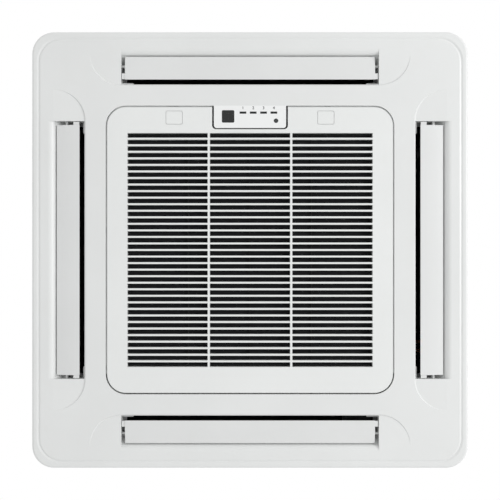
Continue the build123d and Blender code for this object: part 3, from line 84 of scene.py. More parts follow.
class Sock:
    """A shader socket that takes part in Python arithmetic."""

    def __init__(self, tree, socket):
        self.tree = tree
        self.socket = socket

    def math(self, operation, other, swapped=False):
        """Math node on this value and another, or on the other one first."""
        first, second = (other, self) if swapped else (self, other)
        node = add_node(self.tree, "Math", {"operation": operation}, {0: first, 1: second})
        return Sock(self.tree, node.outputs[0])

    def __add__(self, other):
        return self.math("ADD", other)

    def __radd__(self, other):
        return self.math("ADD", other, swapped=True)

    def __sub__(self, other):
        return self.math("SUBTRACT", other)

    def __rsub__(self, other):
        return self.math("SUBTRACT", other, swapped=True)

    def __mul__(self, other):
        return self.math("MULTIPLY", other)

    def __rmul__(self, other):
        return self.math("MULTIPLY", other, swapped=True)

    def above(self, level):
        """1 where this value is over a level, otherwise 0."""
        return self.math("GREATER_THAN", level)

    def below(self, level):
        """1 where this value is under a level, otherwise 0."""
        return self.math("LESS_THAN", level)

    def most(self, other):
        """The larger of two values."""
        return self.math("MAXIMUM", other)

    def wave(self, period):
        """Triangle wave from 0 to 1 that repeats once in each period."""
        return self.math("PINGPONG", period / 2) * (2 / period)

    def between(self, low, high):
        """Eased ramp from 0 at low to 1 at high."""
        sockets = {"Value": self, "From Min": low, "From Max": high}
        node = add_node(self.tree, "MapRange", {"interpolation_type": "SMOOTHSTEP"}, sockets)
        return Sock(self.tree, node.outputs["Result"])


def backdrop_rays(tree):
    """1 for rays that see the plain white backdrop: straight, mirrored or through glass."""
    rays = add_node(tree, "LightPath")
    straight, mirrored, through = (
        Sock(tree, rays.outputs[name])
        for name in ("Is Camera Ray", "Is Glossy Ray", "Is Transmission Ray")
    )
    return straight.most(mirrored).most(through)


def blend_shaders(tree, factor, first, second):
    """Mix of the shaders of two nodes."""
    sockets = {0: factor, 1: Sock(tree, first.outputs[0]), 2: Sock(tree, second.outputs[0])}
    return Sock(tree, add_node(tree, "MixShader", None, sockets).outputs[0])


class Recipe:
    """One node material, built by short calls. Grains and distances are in millimetres."""

    def __init__(self, name, **constants):
        self.material = bpy.data.materials.new(name)
        self.material.use_nodes = True
        self.tree = self.material.node_tree
        self.shader = self.tree.nodes["Principled BSDF"]
        self.finish(**constants)

    def finish(self, **values):
        """Writes or links the shader's inputs and gives the material back."""
        for key, value in values.items():
            connect(self.tree, value, self.shader.inputs[key.replace("_", " ")])
        return self.material

    def out(self, kind, settings=None, sockets=None, output=0):
        """Adds a node and gives one of its outputs."""
        return Sock(self.tree, add_node(self.tree, kind, settings, sockets).outputs[output])

    def place(self):
        """Position on the object as a vector."""
        coords = self.out("TexCoord", output="Object")
        return self.out("VectorMath", {"operation": "SCALE"}, {"Vector": coords, "Scale": 1 / MM})

    def stretched(self, x, y, z):
        """Position on the object, scaled along each axis."""
        return self.out("VectorMath", {"operation": "MULTIPLY"}, {0: self.place(), 1: (x, y, z)})

    def axes(self):
        """The three coordinates of the position on the object."""
        node = add_node(self.tree, "SeparateXYZ", None, {"Vector": self.place()})
        return tuple(Sock(self.tree, node.outputs[axis]) for axis in "XYZ")

    def noise(self, size, detail, vector=None):
        """Soft noise from 0 to 1, with grains of about this size."""
        sockets = {"Vector": vector or self.place(), "Scale": 1 / size, "Detail": detail}
        return self.out("TexNoise", None, sockets, "Fac")

    def cells(self, size, feature="F1", output="Distance"):
        """Cell pattern with cells of about this size."""
        sockets = {"Vector": self.place(), "Scale": 1 / size}
        return self.out("TexVoronoi", {"feature": feature}, sockets, output)

    def mix(self, factor, first, second):
        """Blend of two colours; the Mix node has them at its inputs 6 and 7."""
        return self.out("Mix", {"data_type": "RGBA"}, {0: factor, 6: first, 7: second}, 2)

    def bump(self, height, strength, distance, under=None):
        """Bumps from a height, over other bumps if there are any."""
        sockets = {"Height": height, "Strength": strength, "Distance": distance * MM}
        if under is not None:
            sockets["Normal"] = under
        return self.out("Bump", None, sockets)


def scaled(colour, by):
    """Colour made darker or paler."""
    return tuple(min(c * by, 1.0) for c in colour)


# ---- materials ---------------------------------------------------------------
def moulded_white(name, colour, roughness=0.34):
    """Satin moulded plastic: fine spark grain, slow flow variation and a little dust."""
    r = Recipe(name, IOR=PLASTIC_IOR, Specular_IOR_Level=0.4)
    flow = r.noise(190, detail=2)
    speck = r.noise(3.5, detail=2)
    dust = r.noise(38, detail=4).between(0.5, 0.8)
    dusty = tuple(c * tint for c, tint in zip(colour, DUST_TINT))
    base = r.mix(flow.between(0.35, 0.65), scaled(colour, 0.98), colour)
    spark = r.bump(r.noise(0.9, detail=2), strength=0.056, distance=0.05)
    return r.finish(
        Base_Color=r.mix(dust * 0.22, base, dusty),
        Roughness=roughness + speck * 0.06 + dust * 0.08,
        Normal=r.bump(flow, strength=0.05, distance=0.4, under=spark),
    )


def smoked_window(colour):
    """Dark infrared window: smooth, with faint paler patches."""
    r = Recipe("smoked_window", IOR=HARD_IOR, Specular_IOR_Level=0.4)
    bloom = r.noise(14, detail=2)
    return r.finish(
        Base_Color=r.mix(bloom, scaled(colour, 0.8), scaled(colour, 1.3)),
        Roughness=0.2 + r.noise(5, detail=3) * 0.12,
    )


def unlit_bar(colour):
    """Smoked light bar, unlit: dark with a soft grain."""
    r = Recipe("unlit_bar", IOR=PLASTIC_IOR, Specular_IOR_Level=0.3)
    grain = r.noise(0.8, detail=3)
    return r.finish(
        Base_Color=r.mix(grain, scaled(colour, 0.85), scaled(colour, 1.2)),
        Roughness=0.34 + grain * 0.1,
        Normal=r.bump(grain, strength=0.15, distance=0.05),
    )


def soft_button(colour):
    """Dark grey button, paler and a little smoother in a small disc at its centre: a painted
    highlight.
    """
    r = Recipe("soft_button", IOR=PLASTIC_IOR, Specular_IOR_Level=0.3)
    low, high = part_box("manual_button")
    x, y, _ = r.axes()
    off_x = x - (low.x + high.x) / 2 / MM
    off_y = y - (low.y + high.y) / 2 / MM
    # painted highlight: a pale disc at the centre of the button, where it is also smoother
    painted_highlight_disc = 1 - (off_x * off_x + off_y * off_y).between(1.0, 9.0)
    grain = r.noise(0.7, detail=3)
    return r.finish(
        Base_Color=r.mix(painted_highlight_disc * 0.6 + grain * 0.2, colour, scaled(colour, 2.2)),
        Roughness=0.5 - painted_highlight_disc * 0.1,
        Normal=r.bump(grain, strength=0.12, distance=0.05),
    )


def black_plastic(name, shade):
    """Black moulded plastic with a leathery grain."""
    r = Recipe(name, IOR=PLASTIC_IOR, Specular_IOR_Level=0.2)
    grain = r.cells(1.3)
    dark = (shade, shade, shade * 1.05)
    paler = (shade * 1.7, shade * 1.7, shade * 1.75)
    return r.finish(
        Base_Color=r.mix(r.noise(30, detail=3), dark, paler),
        Roughness=0.5 + grain * 0.12,
        Normal=r.bump(grain, strength=0.12, distance=0.08),
    )


def filter_weave():
    """Dark woven mesh: crossed threads, with painted shade in the holes between them where the
    dark space behind shows.
    """
    thread_pitch = 1.6
    r = Recipe("filter_weave", Specular_IOR_Level=0.12)
    x, y, _ = r.axes()
    thread = x.wave(thread_pitch).most(y.wave(thread_pitch))
    # painted shade: the near-black colour fills the holes between threads; the threads have the
    # mesh's own dark colour
    base = r.mix(thread.between(0.45, 0.8), (0.002, 0.002, 0.003), (0.020, 0.021, 0.023))
    lint = r.noise(22, detail=5).between(0.52, 0.78)
    return r.finish(
        Base_Color=r.mix(lint * 0.25, base, (0.030, 0.029, 0.027)),
        Roughness=0.7 + lint * 0.15,
        Normal=r.bump(thread, strength=0.5, distance=0.4),
    )


def galvanised(name="galvanised", spangle=11):
    """Zinc-coated sheet: spangle cells, faint rolling lines and dull patches."""
    r = Recipe(name)
    cell_colour = r.cells(spangle, output="Color")
    cell = r.out("SeparateColor", None, {"Color": cell_colour}, "Red")
    edge = r.cells(spangle, "DISTANCE_TO_EDGE").between(0.0, 0.08)
    dull = r.noise(85, detail=4).between(0.42, 0.7)
    base = r.mix(cell, (0.47, 0.48, 0.49), (0.57, 0.58, 0.59))
    roll = r.noise(0.8, detail=3, vector=r.stretched(1, 0.04, 1))
    height = cell * 0.3 + edge * 0.2 + roll * 0.3
    return r.finish(
        Base_Color=r.mix(dull * 0.3, base, (0.47, 0.475, 0.47)),
        Roughness=0.36 + cell * 0.08 + dull * 0.1,
        Metallic=0.92 - dull * 0.2,
        Normal=r.bump(height, strength=0.1, distance=0.05),
    )


def plain_steel():
    """Plated steel of screws, nuts and shafts: fine turning lines, brown in patches."""
    r = Recipe("plated_steel")
    turned = r.noise(0.35, detail=2, vector=r.stretched(0.2, 0.2, 4))
    stain = r.noise(6, detail=4).between(0.58, 0.8)
    return r.finish(
        Base_Color=r.mix(stain * 0.6, (0.50, 0.50, 0.49), (0.30, 0.24, 0.17)),
        Roughness=0.28 + turned * 0.12 + stain * 0.2,
        Metallic=0.95 - stain * 0.3,
        Normal=r.bump(turned, strength=0.15, distance=0.05),
    )


def foam(name, dark, pale, cell_mm, roughness):
    """Closed-cell foam or pressed beads, by the size of its cells, with painted shade darkening
    the grooves at the cell edges.
    """
    r = Recipe(name)
    cell = r.cells(cell_mm)
    # painted shade: the first colour sits in the grooves at the cell edges, which the bump also
    # sinks; soil is real dirt
    wall = r.cells(cell_mm, "DISTANCE_TO_EDGE").between(0.0, 0.16)
    soil = r.noise(70, detail=5).between(0.45, 0.75)
    return r.finish(
        Base_Color=r.mix(soil * 0.3, r.mix(wall, dark, pale), scaled(pale, 0.8)),
        Roughness=roughness + soil * 0.05,
        Normal=r.bump(wall - cell * 0.4, strength=0.5, distance=0.3),
    )


def fin_pack():
    """Edges of thin aluminium fins, with painted shade in the gaps between them and the odd bent
    fin.
    """
    fin_pitch = 1.9
    row_pitch = 21
    r = Recipe("fin_pack")
    x, y, z = r.axes()
    bent = r.noise(26, detail=4).between(0.66, 0.74)
    fin = (x + y + bent * 0.5).wave(fin_pitch).between(0.35, 0.75)
    row = z.wave(row_pitch).between(0.86, 0.99)
    # painted shade: the near-black colour fills the gaps between the fins
    base = r.mix(fin, (0.055, 0.058, 0.062), (0.62, 0.64, 0.66))
    return r.finish(
        Base_Color=r.mix(row * 0.35, base, (0.30, 0.31, 0.32)),
        Roughness=0.38 + bent * 0.2,
        Metallic=0.55 + fin * 0.35,
        Normal=r.bump(fin, strength=0.8, distance=0.7),
    )


def copper():
    """Drawn copper: warm, with browner handling marks and dull patches."""
    r = Recipe("copper_tube")
    drawn = r.noise(0.6, detail=3, vector=r.stretched(0.3, 1, 1))
    tarnish = r.noise(16, detail=5).between(0.42, 0.72)
    return r.finish(
        Base_Color=r.mix(tarnish, (0.72, 0.34, 0.20), (0.42, 0.19, 0.11)),
        Roughness=0.24 + tarnish * 0.22,
        Metallic=1 - tarnish * 0.12,
        Normal=r.bump(drawn, strength=0.1, distance=0.05),
    )


def turned_brass():
    """Turned brass of the flare nuts."""
    r = Recipe("turned_brass")
    turned = r.noise(0.4, detail=2, vector=r.stretched(5, 0.3, 0.3))
    tarnish = r.noise(9, detail=4).between(0.45, 0.75)
    return r.finish(
        Base_Color=r.mix(tarnish, (0.74, 0.56, 0.26), (0.45, 0.33, 0.15)),
        Roughness=0.25 + turned * 0.15 + tarnish * 0.15,
        Metallic=0.97 - tarnish * 0.1,
    )


def fan_plastic():
    """Dark grey glass-filled plastic of the impeller, with patches of dust."""
    r = Recipe("fan_plastic", IOR=HARD_IOR)
    fibre = r.noise(1.1, detail=4, vector=r.stretched(1, 1, 0.25))
    dust = r.noise(28, detail=5).between(0.5, 0.8)
    base = r.mix(fibre, (0.115, 0.119, 0.125), (0.150, 0.155, 0.162))
    return r.finish(
        Base_Color=r.mix(dust * 0.3, base, (0.24, 0.23, 0.21)),
        Roughness=0.46 + dust * 0.2,
        Normal=r.bump(fibre, strength=0.12, distance=0.06),
    )


def painted_shell():
    """Black paint of the motor shell, also worn by the pump bracket as painted shade where it
    shows through the outlet slit: slight orange peel, a few chips.
    """
    r = Recipe("painted_shell", IOR=HARD_IOR, Coat_Roughness=0.2)
    peel = r.noise(2.2, detail=3)
    chip = r.noise(7, detail=5).between(0.72, 0.76)
    return r.finish(
        Base_Color=r.mix(chip, (0.022, 0.022, 0.024), (0.16, 0.15, 0.14)),
        Roughness=0.32 + peel * 0.12,
        Coat_Weight=0.3 - chip * 0.3,
        Normal=r.bump(peel, strength=0.2, distance=0.1),
    )


def rubber():
    """Black rubber, matt, with a greyer bloom."""
    r = Recipe("rubber_black", IOR=SOFT_IOR)
    bloom = r.noise(9, detail=5).between(0.4, 0.75)
    return r.finish(
        Base_Color=r.mix(bloom * 0.5, (0.014, 0.014, 0.015), (0.055, 0.054, 0.052)),
        Roughness=0.62 + bloom * 0.15,
        Normal=r.bump(r.noise(0.9, detail=3), strength=0.12, distance=0.06),
    )


def circuit_board():
    """Green board with copper lines under the mask, and solder points."""
    track_pitch = 3.2
    cross_pitch = 6.1
    point_pitch = 4.1
    r = Recipe("circuit_board", IOR=HARD_IOR, Coat_Weight=0.3, Coat_Roughness=0.15)
    x, y, _ = r.axes()
    bend = r.noise(18, detail=1) * 5
    track = (x + bend).wave(track_pitch).above(0.72)
    cross = (y + bend).wave(cross_pitch).above(0.84)
    point = r.cells(point_pitch).below(0.16)
    base = r.mix(track.most(cross), (0.012, 0.085, 0.032), (0.03, 0.15, 0.06))
    return r.finish(
        Base_Color=r.mix(point, base, (0.55, 0.55, 0.52)),
        Roughness=0.35 - point * 0.1,
        Metallic=point * 0.9,
        Normal=r.bump(track + point, strength=0.2, distance=0.05),
    )


def pale_plastic():
    """Uncoloured moulded plastic of hidden parts, a little yellow, with flow lines."""
    r = Recipe("pale_plastic", IOR=PLASTIC_IOR)
    flow = r.noise(40, detail=4, vector=r.stretched(1, 1, 0.3))
    return r.finish(
        Base_Color=r.mix(flow, (0.52, 0.52, 0.49), (0.62, 0.62, 0.59)),
        Roughness=0.42 + r.noise(5, detail=3) * 0.12,
        Normal=r.bump(r.noise(1.1, detail=2), strength=0.08, distance=0.05),
    )


def label_ink(colour):
    """Grey printing of the numbers over the light bars."""
    r = Recipe("label_ink", IOR=SOFT_IOR, Specular_IOR_Level=0.3)
    wear = r.noise(1.4, detail=4)
    return r.finish(
        Base_Color=r.mix(wear, colour, scaled(colour, 1.35)), Roughness=0.5 + wear * 0.1,
    )


def floor_paint(colour, glow):
    """Plain pale floor that the camera and reflections see paler than it lights the object."""
    r = Recipe("floor_paint")
    base = r.mix(r.noise(900, detail=3), scaled(colour, 0.97), colour)
    r.finish(Base_Color=base, Roughness=0.8 + r.noise(60, detail=2) * 0.1)
    pale = add_node(r.tree, "Emission", None, {"Color": WHITE, "Strength": 1.0})
    surface = blend_shaders(r.tree, backdrop_rays(r.tree) * glow, r.shader, pale)
    connect(r.tree, surface, r.tree.nodes["Material Output"].inputs["Surface"])
    return r.material


def material_table(look):
    """CAD node names by the material that they wear."""
    return {
        moulded_white("panel_plastic", look.panel_colour): ["panel_frame", "grille_hinge_pins"],
        moulded_white("grille_plastic", look.grille_colour): [
            "intake_grille", "latch_left", "latch_right",
        ],
        moulded_white("flap_plastic", look.flap_colour, roughness=0.3): [
            "flap_right", "flap_back", "flap_left", "flap_front",
        ],
        moulded_white("receiver_plastic", look.receiver_colour, roughness=0.3): [
            "receiver_housing",
        ],
        smoked_window(look.window_colour): ["receiver_window"],
        unlit_bar(look.window_colour): ["indicator_bars"],
        soft_button(look.button_colour): ["manual_button"],
        black_plastic("filter_plastic", shade=0.006): ["filter_frame"],
        filter_weave(): ["filter_mesh"],
        galvanised(): [
            "chassis_top", "chassis_sides", "hanger_brackets", "pan_straps", "coil_baffle",
            "motor_plate", "control_box", "control_box_cover", "pipe_outlet_plate",
        ],
        galvanised("galvanised_ends", spangle=7): ["coil_end_plates"],
        plain_steel(): [
            "bracket_bolts", "panel_screws", "bell_mouth_screws", "motor_shaft", "fan_nut",
        ],
        foam(
            "foam_lining", (0.010, 0.010, 0.011), (0.030, 0.030, 0.032),
            cell_mm=1.6, roughness=0.85,
        ): ["chassis_insulation"],
        foam(
            "foam_seal", (0.008, 0.008, 0.009), (0.024, 0.024, 0.026), cell_mm=0.9, roughness=0.9,
        ): ["panel_seal"],
        foam(
            "pressed_beads", (0.62, 0.63, 0.64), (0.78, 0.79, 0.80), cell_mm=4.2, roughness=0.7,
        ): ["drain_pan"],
        fin_pack(): ["coil_fins"],
        copper(): ["coil_return_bends", "gas_pipe", "liquid_pipe"],
        turned_brass(): ["flare_nuts"],
        fan_plastic(): ["turbo_fan"],
        # the fan motor's black paint is its own; on the pump bracket the black is painted shade
        # seen through the outlet slit
        painted_shell(): ["fan_motor", "pump_bracket"],
        rubber(): ["motor_mounts", "drain_plug", "cable_grommet", "drain_hose"],
        circuit_board(): ["receiver_board", "control_board"],
        pale_plastic(): [
            "bell_mouth", "flap_motors", "terminal_block", "drain_pump", "float_switch",
            "float_ring", "drain_port",
        ],
    }


# ---- mesh helpers, with points and lengths in millimetres --------------------
def corner_mm(node):
    """Lowest and highest corner of a CAD node."""
    low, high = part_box(node)
    return low / MM, high / MM


def add_mesh(name, verts, faces, material, body, smooth=True):
    """Makes a mesh object from points and lets it ride on a body."""
    mesh = bpy.data.meshes.new(name)
    mesh.from_pydata([tuple(c * MM for c in v) for v in verts], [], faces)
    mesh.update()
    piece = bpy.data.objects.new(name, mesh)
    bpy.context.scene.collection.objects.link(piece)
    mesh.materials.append(material)
    if smooth:
        mesh.polygons.foreach_set("use_smooth", [True] * len(mesh.polygons))
    tidy = bmesh.new()
    tidy.from_mesh(mesh)
    bmesh.ops.remove_doubles(tidy, verts=tidy.verts, dist=1e-6)
    bmesh.ops.recalc_face_normals(tidy, faces=tidy.faces)
    tidy.to_mesh(mesh)
    tidy.free()
    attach(piece, body)
    return piece


def lathe(profile, steps):
    """Closed ring of a closed profile of (radius, height) pairs about the Z axis."""
    verts = []
    faces = []
    count = len(profile)
    for step in range(steps):
        turn = 2 * math.pi * step / steps
        for radius, height in profile:
            verts.append((radius * math.cos(turn), radius * math.sin(turn), height))
    for step in range(steps):
        here = step * count
        ahead = (step + 1) % steps * count
        for i in range(count):
            j = (i + 1) % count
            faces.append((here + i, here + j, ahead + j, ahead + i))
    return verts, faces


def tube(name, points, radius, material, body):
    """Bent tube along points."""
    curve = bpy.data.curves.new(name, "CURVE")
    curve.dimensions = "3D"
    curve.bevel_depth = radius * MM
    curve.bevel_resolution = 6
    curve.use_fill_caps = True
    spline = curve.splines.new("POLY")
    spline.points.add(len(points) - 1)
    for point, place in zip(spline.points, points):
        point.co = (*(c * MM for c in place), 1)
    spline.use_smooth = True
    piece = bpy.data.objects.new(name, curve)
    bpy.context.scene.collection.objects.link(piece)
    curve.materials.append(material)
    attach(piece, body)
    return piece


def mouth_profile(bottom, top, throat, flare, sheet):
    """Closed outline of the bell mouth's wall: a quarter-round flare, then a straight throat."""
    steps = 14
    inner = []
    for step in range(steps + 1):
        turn = math.pi / 2 * step / steps
        radius = throat + flare * (1 - math.sin(turn))
        inner.append((radius, bottom + flare * (1 - math.cos(turn))))
    inner.append((throat, top))
    outer = [(r + sheet, z) for r, z in reversed(inner[1:])]
    outer.append((throat + flare, bottom + sheet))
    return inner + outer


def rounded_square_point(half, corner_r, turn):
    """Point where a ray from the centre meets a rounded square."""
    c, s = math.cos(turn), math.sin(turn)
    flat = half / max(abs(c), abs(s))
    x, y = flat * c, flat * s
    inner = half - corner_r
    if abs(x) <= inner or abs(y) <= inner:
        return x, y
    centre = Vector((math.copysign(inner, x), math.copysign(inner, y)))
    ray = Vector((c, s))
    along = centre.dot(ray)
    off = centre.length_squared - corner_r ** 2
    reach = along + math.sqrt(max(along ** 2 - off, 0))
    return reach * c, reach * s


def square_plate(half, hole_r, corner_r, z, sheet):
    """Rounded square plate with a round hole, cut into strips between the two outlines."""
    around = 144
    verts = []
    for height in (z, z + sheet):
        for step in range(around):
            turn = 2 * math.pi * step / around
            verts.append((hole_r * math.cos(turn), hole_r * math.sin(turn), height))
            verts.append((*rounded_square_point(half, corner_r, turn), height))
    faces = []
    layer = 2 * around
    for step in range(around):
        a = 2 * step
        b = 2 * ((step + 1) % around)
        faces.append((a, b, b + 1, a + 1))
        faces.append((layer + a, layer + a + 1, layer + b + 1, layer + b))
        faces.append((a + 1, b + 1, layer + b + 1, layer + a + 1))
        faces.append((a, layer + a, layer + b, b))
    return verts, faces


def screw_head():
    """Low domed screw head with a round recess, standing on z = 0."""
    axis_r = 0.01
    head_r = 4.0
    head_h = 1.6
    recess_r = 1.6
    floor_r = 1.2
    profile = [
        (axis_r, 0.0), (head_r, 0.0), (head_r, head_h * 0.5), (head_r * 0.7, head_h),
        (recess_r, head_h), (floor_r, head_h * 0.5), (axis_r, head_h * 0.45),
    ]
    return lathe(profile, steps=18)


# ---- settings ----------------------------------------------------------------
def colour_value(name, description, default):
    """Colour property with linear values."""
    return bpy.props.FloatVectorProperty(
        name=name, description=description, default=default, subtype="COLOR", size=3, min=0, max=1,
    )


def float_value(name, description, default, unit="LENGTH"):
    """Length in metres, or a value with another unit."""
    return bpy.props.FloatProperty(
        name=name, description=description, default=default, unit=unit,
    )


class CassetteLook(bpy.types.PropertyGroup):
    """Values that the operators read."""

    panel_colour: colour_value(
        "Panel colour", "Plastic of the panel round the outlets", (0.772, 0.784, 0.778),
    )
    grille_colour: colour_value(
        "Grille colour", "Plastic of the intake grille", (0.806, 0.820, 0.812),
    )
    flap_colour: colour_value(
        "Flap colour", "Plastic of the four air flaps", (0.742, 0.752, 0.748),
    )
    receiver_colour: colour_value(
        "Receiver colour", "Plastic of the receiver's face", (0.872, 0.882, 0.878),
    )
    window_colour: colour_value(
        "Window colour", "Smoked plastic of the window and bars", (0.014, 0.015, 0.015),
    )
    button_colour: colour_value(
        "Button colour", "Plastic of the manual button", (0.030, 0.032, 0.032),
    )
    number_colour: colour_value(
        "Number colour", "Printing of the numbers", (0.055, 0.057, 0.056),
    )
    floor_colour: colour_value("Floor colour", "Paint of the floor", (0.80, 0.80, 0.80))
    number_height: float_value(
        "Number height", "Height of the numbers over the light bars", 0.0066,
    )
    number_weight: float_value(
        "Number weight", "Width added round each stroke of the numbers", 0.00016,
    )
    bend_steps: bpy.props.IntProperty(
        name="Bend steps", description="Points in each half turn of a return bend", default=14,
    )
    view_width: float_value(
        "View width", "Width that the camera sees at the panel's face", 1.0875,
    )
    view_distance: float_value("View distance", "From the camera to the panel's face", 1.9)
    floor_depth: float_value("Floor depth", "From the ceiling line down to the floor", 3.5)
    floor_glow: bpy.props.FloatProperty(
        name="Floor glow", description="Share of plain white in what a camera sees of the floor",
        default=0.85, subtype="FACTOR", min=0, max=1,
    )
    key_power: float_value("Key light", "Power of the soft light at the right", 88.0, "POWER")
    fill_power: float_value("Fill light", "Power of each weaker light", 3.0, "POWER")
    top_power: float_value(
        "Top light", "Power of the light above at the left; the right one has a third of it",
        20.0, "POWER",
    )
    sky_level: float_value(
        "Sky level", "Brightness of the even light from all round", 0.85, "NONE",
    )


# ---- operators: dressing -----------------------------------------------------
class CASSETTE_OT_materials(bpy.types.Operator):
    """Give every CAD node its material."""

    bl_idname = "cassette.materials"
    bl_label = "Dress the CAD nodes"

    def execute(self, context):
        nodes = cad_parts
        dressed = set()
        for material, names in material_table(context.scene.cassette_look).items():
            for name in names:
                if name not in nodes:
                    raise RuntimeError(f"no CAD node {name}")
                slots = nodes[name].data.materials
                slots.clear()
                slots.append(material)
                dressed.add(name)
        bare = set(nodes) - dressed
        if bare:
            raise RuntimeError(f"no material for {sorted(bare)}")
        return {"FINISHED"}


class CASSETTE_OT_numbers(bpy.types.Operator):
    """Print the numbers 1 to 4 over the light bars."""

    bl_idname = "cassette.numbers"
    bl_label = "Numbers over the light bars"

    def execute(self, context):
        look = context.scene.cassette_look
        low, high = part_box("indicator_bars")
        bars = 4
        bar_w = 14.4 * MM
        lift = 0.0078
        ink_gap = 0.00001
        pitch = (high.x - low.x - bar_w) / (bars - 1)
        ink = label_ink(look.number_colour)
        for index in range(bars):
            mesh = self.digit(context, index + 1, look)
            x = low.x + bar_w / 2 + index * pitch
            for vert in mesh.vertices:
                vert.co = Vector((
                    x + vert.co.x, low.y - lift - vert.co.y, low.z - ink_gap - vert.co.z,
                ))
            mesh.materials.clear()
            mesh.materials.append(ink)
            piece = bpy.data.objects.new(f"receiver_number_{index + 1}", mesh)
            context.scene.collection.objects.link(piece)
            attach(piece, "casing")
        return {"FINISHED"}

    def digit(self, context, value, look):
        """Mesh of one digit, centred on the origin."""
        font_to_digit = 1.3
        ink_thickness = 0.00003
        text = bpy.data.curves.new(f"number_{value}", "FONT")
        text.body = str(value)
        text.align_x = "CENTER"
        text.align_y = "CENTER"
        text.size = look.number_height * font_to_digit
        text.extrude = ink_thickness
        text.offset = look.number_weight
        shape = bpy.data.objects.new(f"number_shape_{value}", text)
        context.scene.collection.objects.link(shape)
        context.view_layer.update()
        mesh = bpy.data.meshes.new_from_object(shape)
        bpy.data.objects.remove(shape)
        return mesh


class CASSETTE_OT_return_bends(bpy.types.Operator):
    """Replace the plain return bends by round ones."""

    bl_idname = "cassette.return_bends"
    bl_label = "Round return bends"

    def execute(self, context):
        look = context.scene.cassette_look
        low, high = corner_mm("coil_return_bends")
        radius = 3.5
        rows = 3
        middle = (low.y + high.y) / 2
        reach = (high.y - low.y) / 2 - radius
        height = high.z - low.z - 2 * radius
        metal = bpy.data.materials["copper_tube"]
        for row in range(rows):
            z = low.z + radius + height * row / (rows - 1)
            points = [(low.x, middle - reach, z)]
            for step in range(look.bend_steps + 1):
                turn = math.pi * step / look.bend_steps
                out = low.x + (high.x - low.x - radius) * math.sin(turn)
                points.append((out, middle - reach * math.cos(turn), z))
            points.append((low.x, middle + reach, z))
            piece = tube(f"return_bend_{row + 1}", points, radius, metal, "casing")
            if row == 0:
                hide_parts("coil_return_bends")
        return {"FINISHED"}


class CASSETTE_OT_bell_mouth(bpy.types.Operator):
    """Replace the banded bell mouth by a smoothly drawn one."""

    bl_idname = "cassette.bell_mouth"
    bl_label = "Smooth bell mouth"

    def execute(self, context):
        low, high = corner_mm("bell_mouth")
        sheet = 2.0
        throat = 164.0
        flare = 48.0
        corner_r = 38.0
        plastic = bpy.data.materials["pale_plastic"]
        verts, faces = lathe(mouth_profile(low.z, high.z, throat, flare, sheet), steps=96)
        ring = add_mesh("bell_mouth_throat", verts, faces, plastic, "casing")
        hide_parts("bell_mouth")
        verts, faces = square_plate(high.x, throat + flare, corner_r, low.z, sheet)
        plate = add_mesh("bell_mouth_plate", verts, faces, plastic, "casing", smooth=False)
        return {"FINISHED"}


class CASSETTE_OT_casing_screws(bpy.types.Operator):
    """Add the small screws that hold the side panels to the top plate."""

    bl_idname = "cassette.casing_screws"
    bl_label = "Casing screws"

    def execute(self, context):
        high = corner_mm("chassis_sides")[1]
        drop = 9.0
        places = (-250.0, -84.0, 84.0, 250.0)
        up = Vector((0, 0, 1))
        head_verts, head_faces = screw_head()
        verts = []
        faces = []
        for side in range(4):
            turn = math.pi / 2 * side
            out = Vector((math.cos(turn), math.sin(turn), 0))
            along = Vector((-math.sin(turn), math.cos(turn), 0))
            for place in places:
                origin = out * high.x + along * place + up * (high.z - drop)
                start = len(verts)
                for x, y, z in head_verts:
                    verts.append(tuple(origin + along * x + up * y + out * z))
                faces.extend(tuple(start + i for i in face) for face in head_faces)
        steel = bpy.data.materials["plated_steel"]
        piece = add_mesh("casing_screws", verts, faces, steel, "casing")
        return {"FINISHED"}


# ---- operators: stage --------------------------------------------------------
def area_light(name, place, target, size, power):
    """Soft square light aimed at a point, unseen by the camera."""
    data = bpy.data.lights.new(name, "AREA")
    data.shape = "SQUARE"
    data.size = size
    data.energy = power
    light = bpy.data.objects.new(name, data)
    light.location = place
    light.rotation_mode = "QUATERNION"
    light.rotation_quaternion = (Vector(target) - Vector(place)).to_track_quat("-Z", "Y")
    light.visible_camera = False
    bpy.context.scene.collection.objects.link(light)


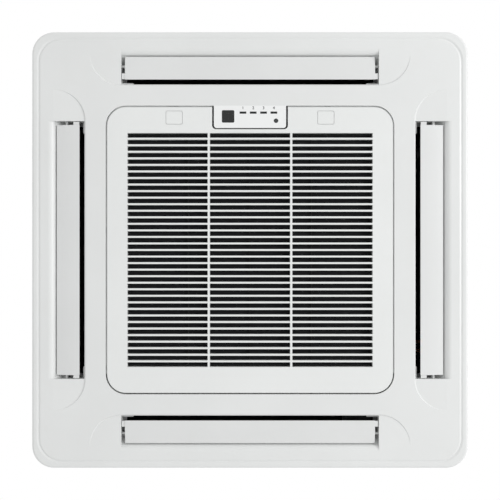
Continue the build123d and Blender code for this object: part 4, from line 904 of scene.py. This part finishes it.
class CASSETTE_OT_stage(bpy.types.Operator):
    """Make the floor, the lights, the world and the camera."""

    bl_idname = "cassette.stage"
    bl_label = "Stage"

    def execute(self, context):
        look = context.scene.cassette_look
        face_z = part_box("panel_frame")[0].z
        if face_z >= 0:
            raise RuntimeError("the panel has to hang below the ceiling line")
        self.make_floor(look)
        self.make_world(look)
        self.make_lights(look)
        self.make_camera(look, face_z)
        context.scene.view_settings.view_transform = "Standard"
        return {"FINISHED"}

    def make_floor(self, look):
        half = 40.0
        corners = [(-half, -half), (half, -half), (half, half), (-half, half)]
        mesh = bpy.data.meshes.new("floor")
        mesh.from_pydata([(x, y, -look.floor_depth) for x, y in corners], [], [(0, 1, 2, 3)])
        mesh.materials.append(floor_paint(look.floor_colour, look.floor_glow))
        floor = bpy.data.objects.new("floor", mesh)
        bpy.context.scene.collection.objects.link(floor)

    def make_world(self, look):
        world = bpy.data.worlds.new("studio")
        bpy.context.scene.world = world
        world.use_nodes = True
        tree = world.node_tree
        tree.nodes.clear()
        even = add_node(tree, "Background", None, {"Color": WHITE, "Strength": look.sky_level})
        plain = add_node(tree, "Background", None, {"Color": WHITE, "Strength": 1.0})
        surface = blend_shaders(tree, backdrop_rays(tree), even, plain)
        add_node(tree, "OutputWorld", None, {"Surface": surface})

    def make_lights(self, look):
        aim = (0, 0, 0)
        low_size = 1.4
        top_size = 3.2
        area_light("key_right", (4.1, -0.55, -2.7), aim, low_size, look.key_power)
        area_light("fill_back", (0.3, 2.2, -1.7), aim, low_size, look.fill_power)
        area_light("fill_front", (0.3, -2.2, -1.7), aim, low_size, look.fill_power)
        area_light("top_left", (-1.8, -1.6, 2.4), aim, top_size, look.top_power)
        area_light("top_right", (2.0, 1.2, 2.2), aim, top_size, look.top_power / 3)

    def make_camera(self, look, face_z):
        data = bpy.data.cameras.new("photo_camera")
        data.sensor_width = 36.0
        data.lens = data.sensor_width * look.view_distance / look.view_width
        data.clip_start = 0.05
        camera = bpy.data.objects.new("photo_camera", data)
        camera.location = (0, 0, face_z - look.view_distance)
        camera.rotation_euler = (math.pi, 0, 0)
        bpy.context.scene.collection.objects.link(camera)
        bpy.context.scene.camera = camera


# ---- panel and registration --------------------------------------------------
STEPS = (
    CASSETTE_OT_materials,
    CASSETTE_OT_numbers,
    CASSETTE_OT_return_bends,
    CASSETTE_OT_bell_mouth,
    CASSETTE_OT_casing_screws,
    CASSETTE_OT_stage,
)


class CASSETTE_PT_sidebar(bpy.types.Panel):
    """Settings and a button for each step of the dressing."""

    bl_idname = "CASSETTE_PT_sidebar"
    bl_label = "Ceiling cassette"
    bl_space_type = "VIEW_3D"
    bl_region_type = "UI"
    bl_category = "Cassette"

    def draw(self, context):
        look = context.scene.cassette_look
        for name in look.bl_rna.properties.keys():
            if name not in ("rna_type", "name"):
                self.layout.prop(look, name)
        for step in STEPS:
            self.layout.operator(step.bl_idname)


CLASSES = (CassetteLook,) + STEPS + (CASSETTE_PT_sidebar,)


def register():
    for cls in CLASSES:
        bpy.utils.register_class(cls)
    bpy.types.Scene.cassette_look = bpy.props.PointerProperty(type=CassetteLook)


def unregister():
    del bpy.types.Scene.cassette_look
    for cls in reversed(CLASSES):
        bpy.utils.unregister_class(cls)


def main():
    register()
    bpy.ops.cassette.materials()
    bpy.ops.cassette.numbers()
    bpy.ops.cassette.return_bends()
    bpy.ops.cassette.bell_mouth()
    bpy.ops.cassette.casing_screws()
    bpy.ops.cassette.stage()


if __name__ == "__main__":
    main()
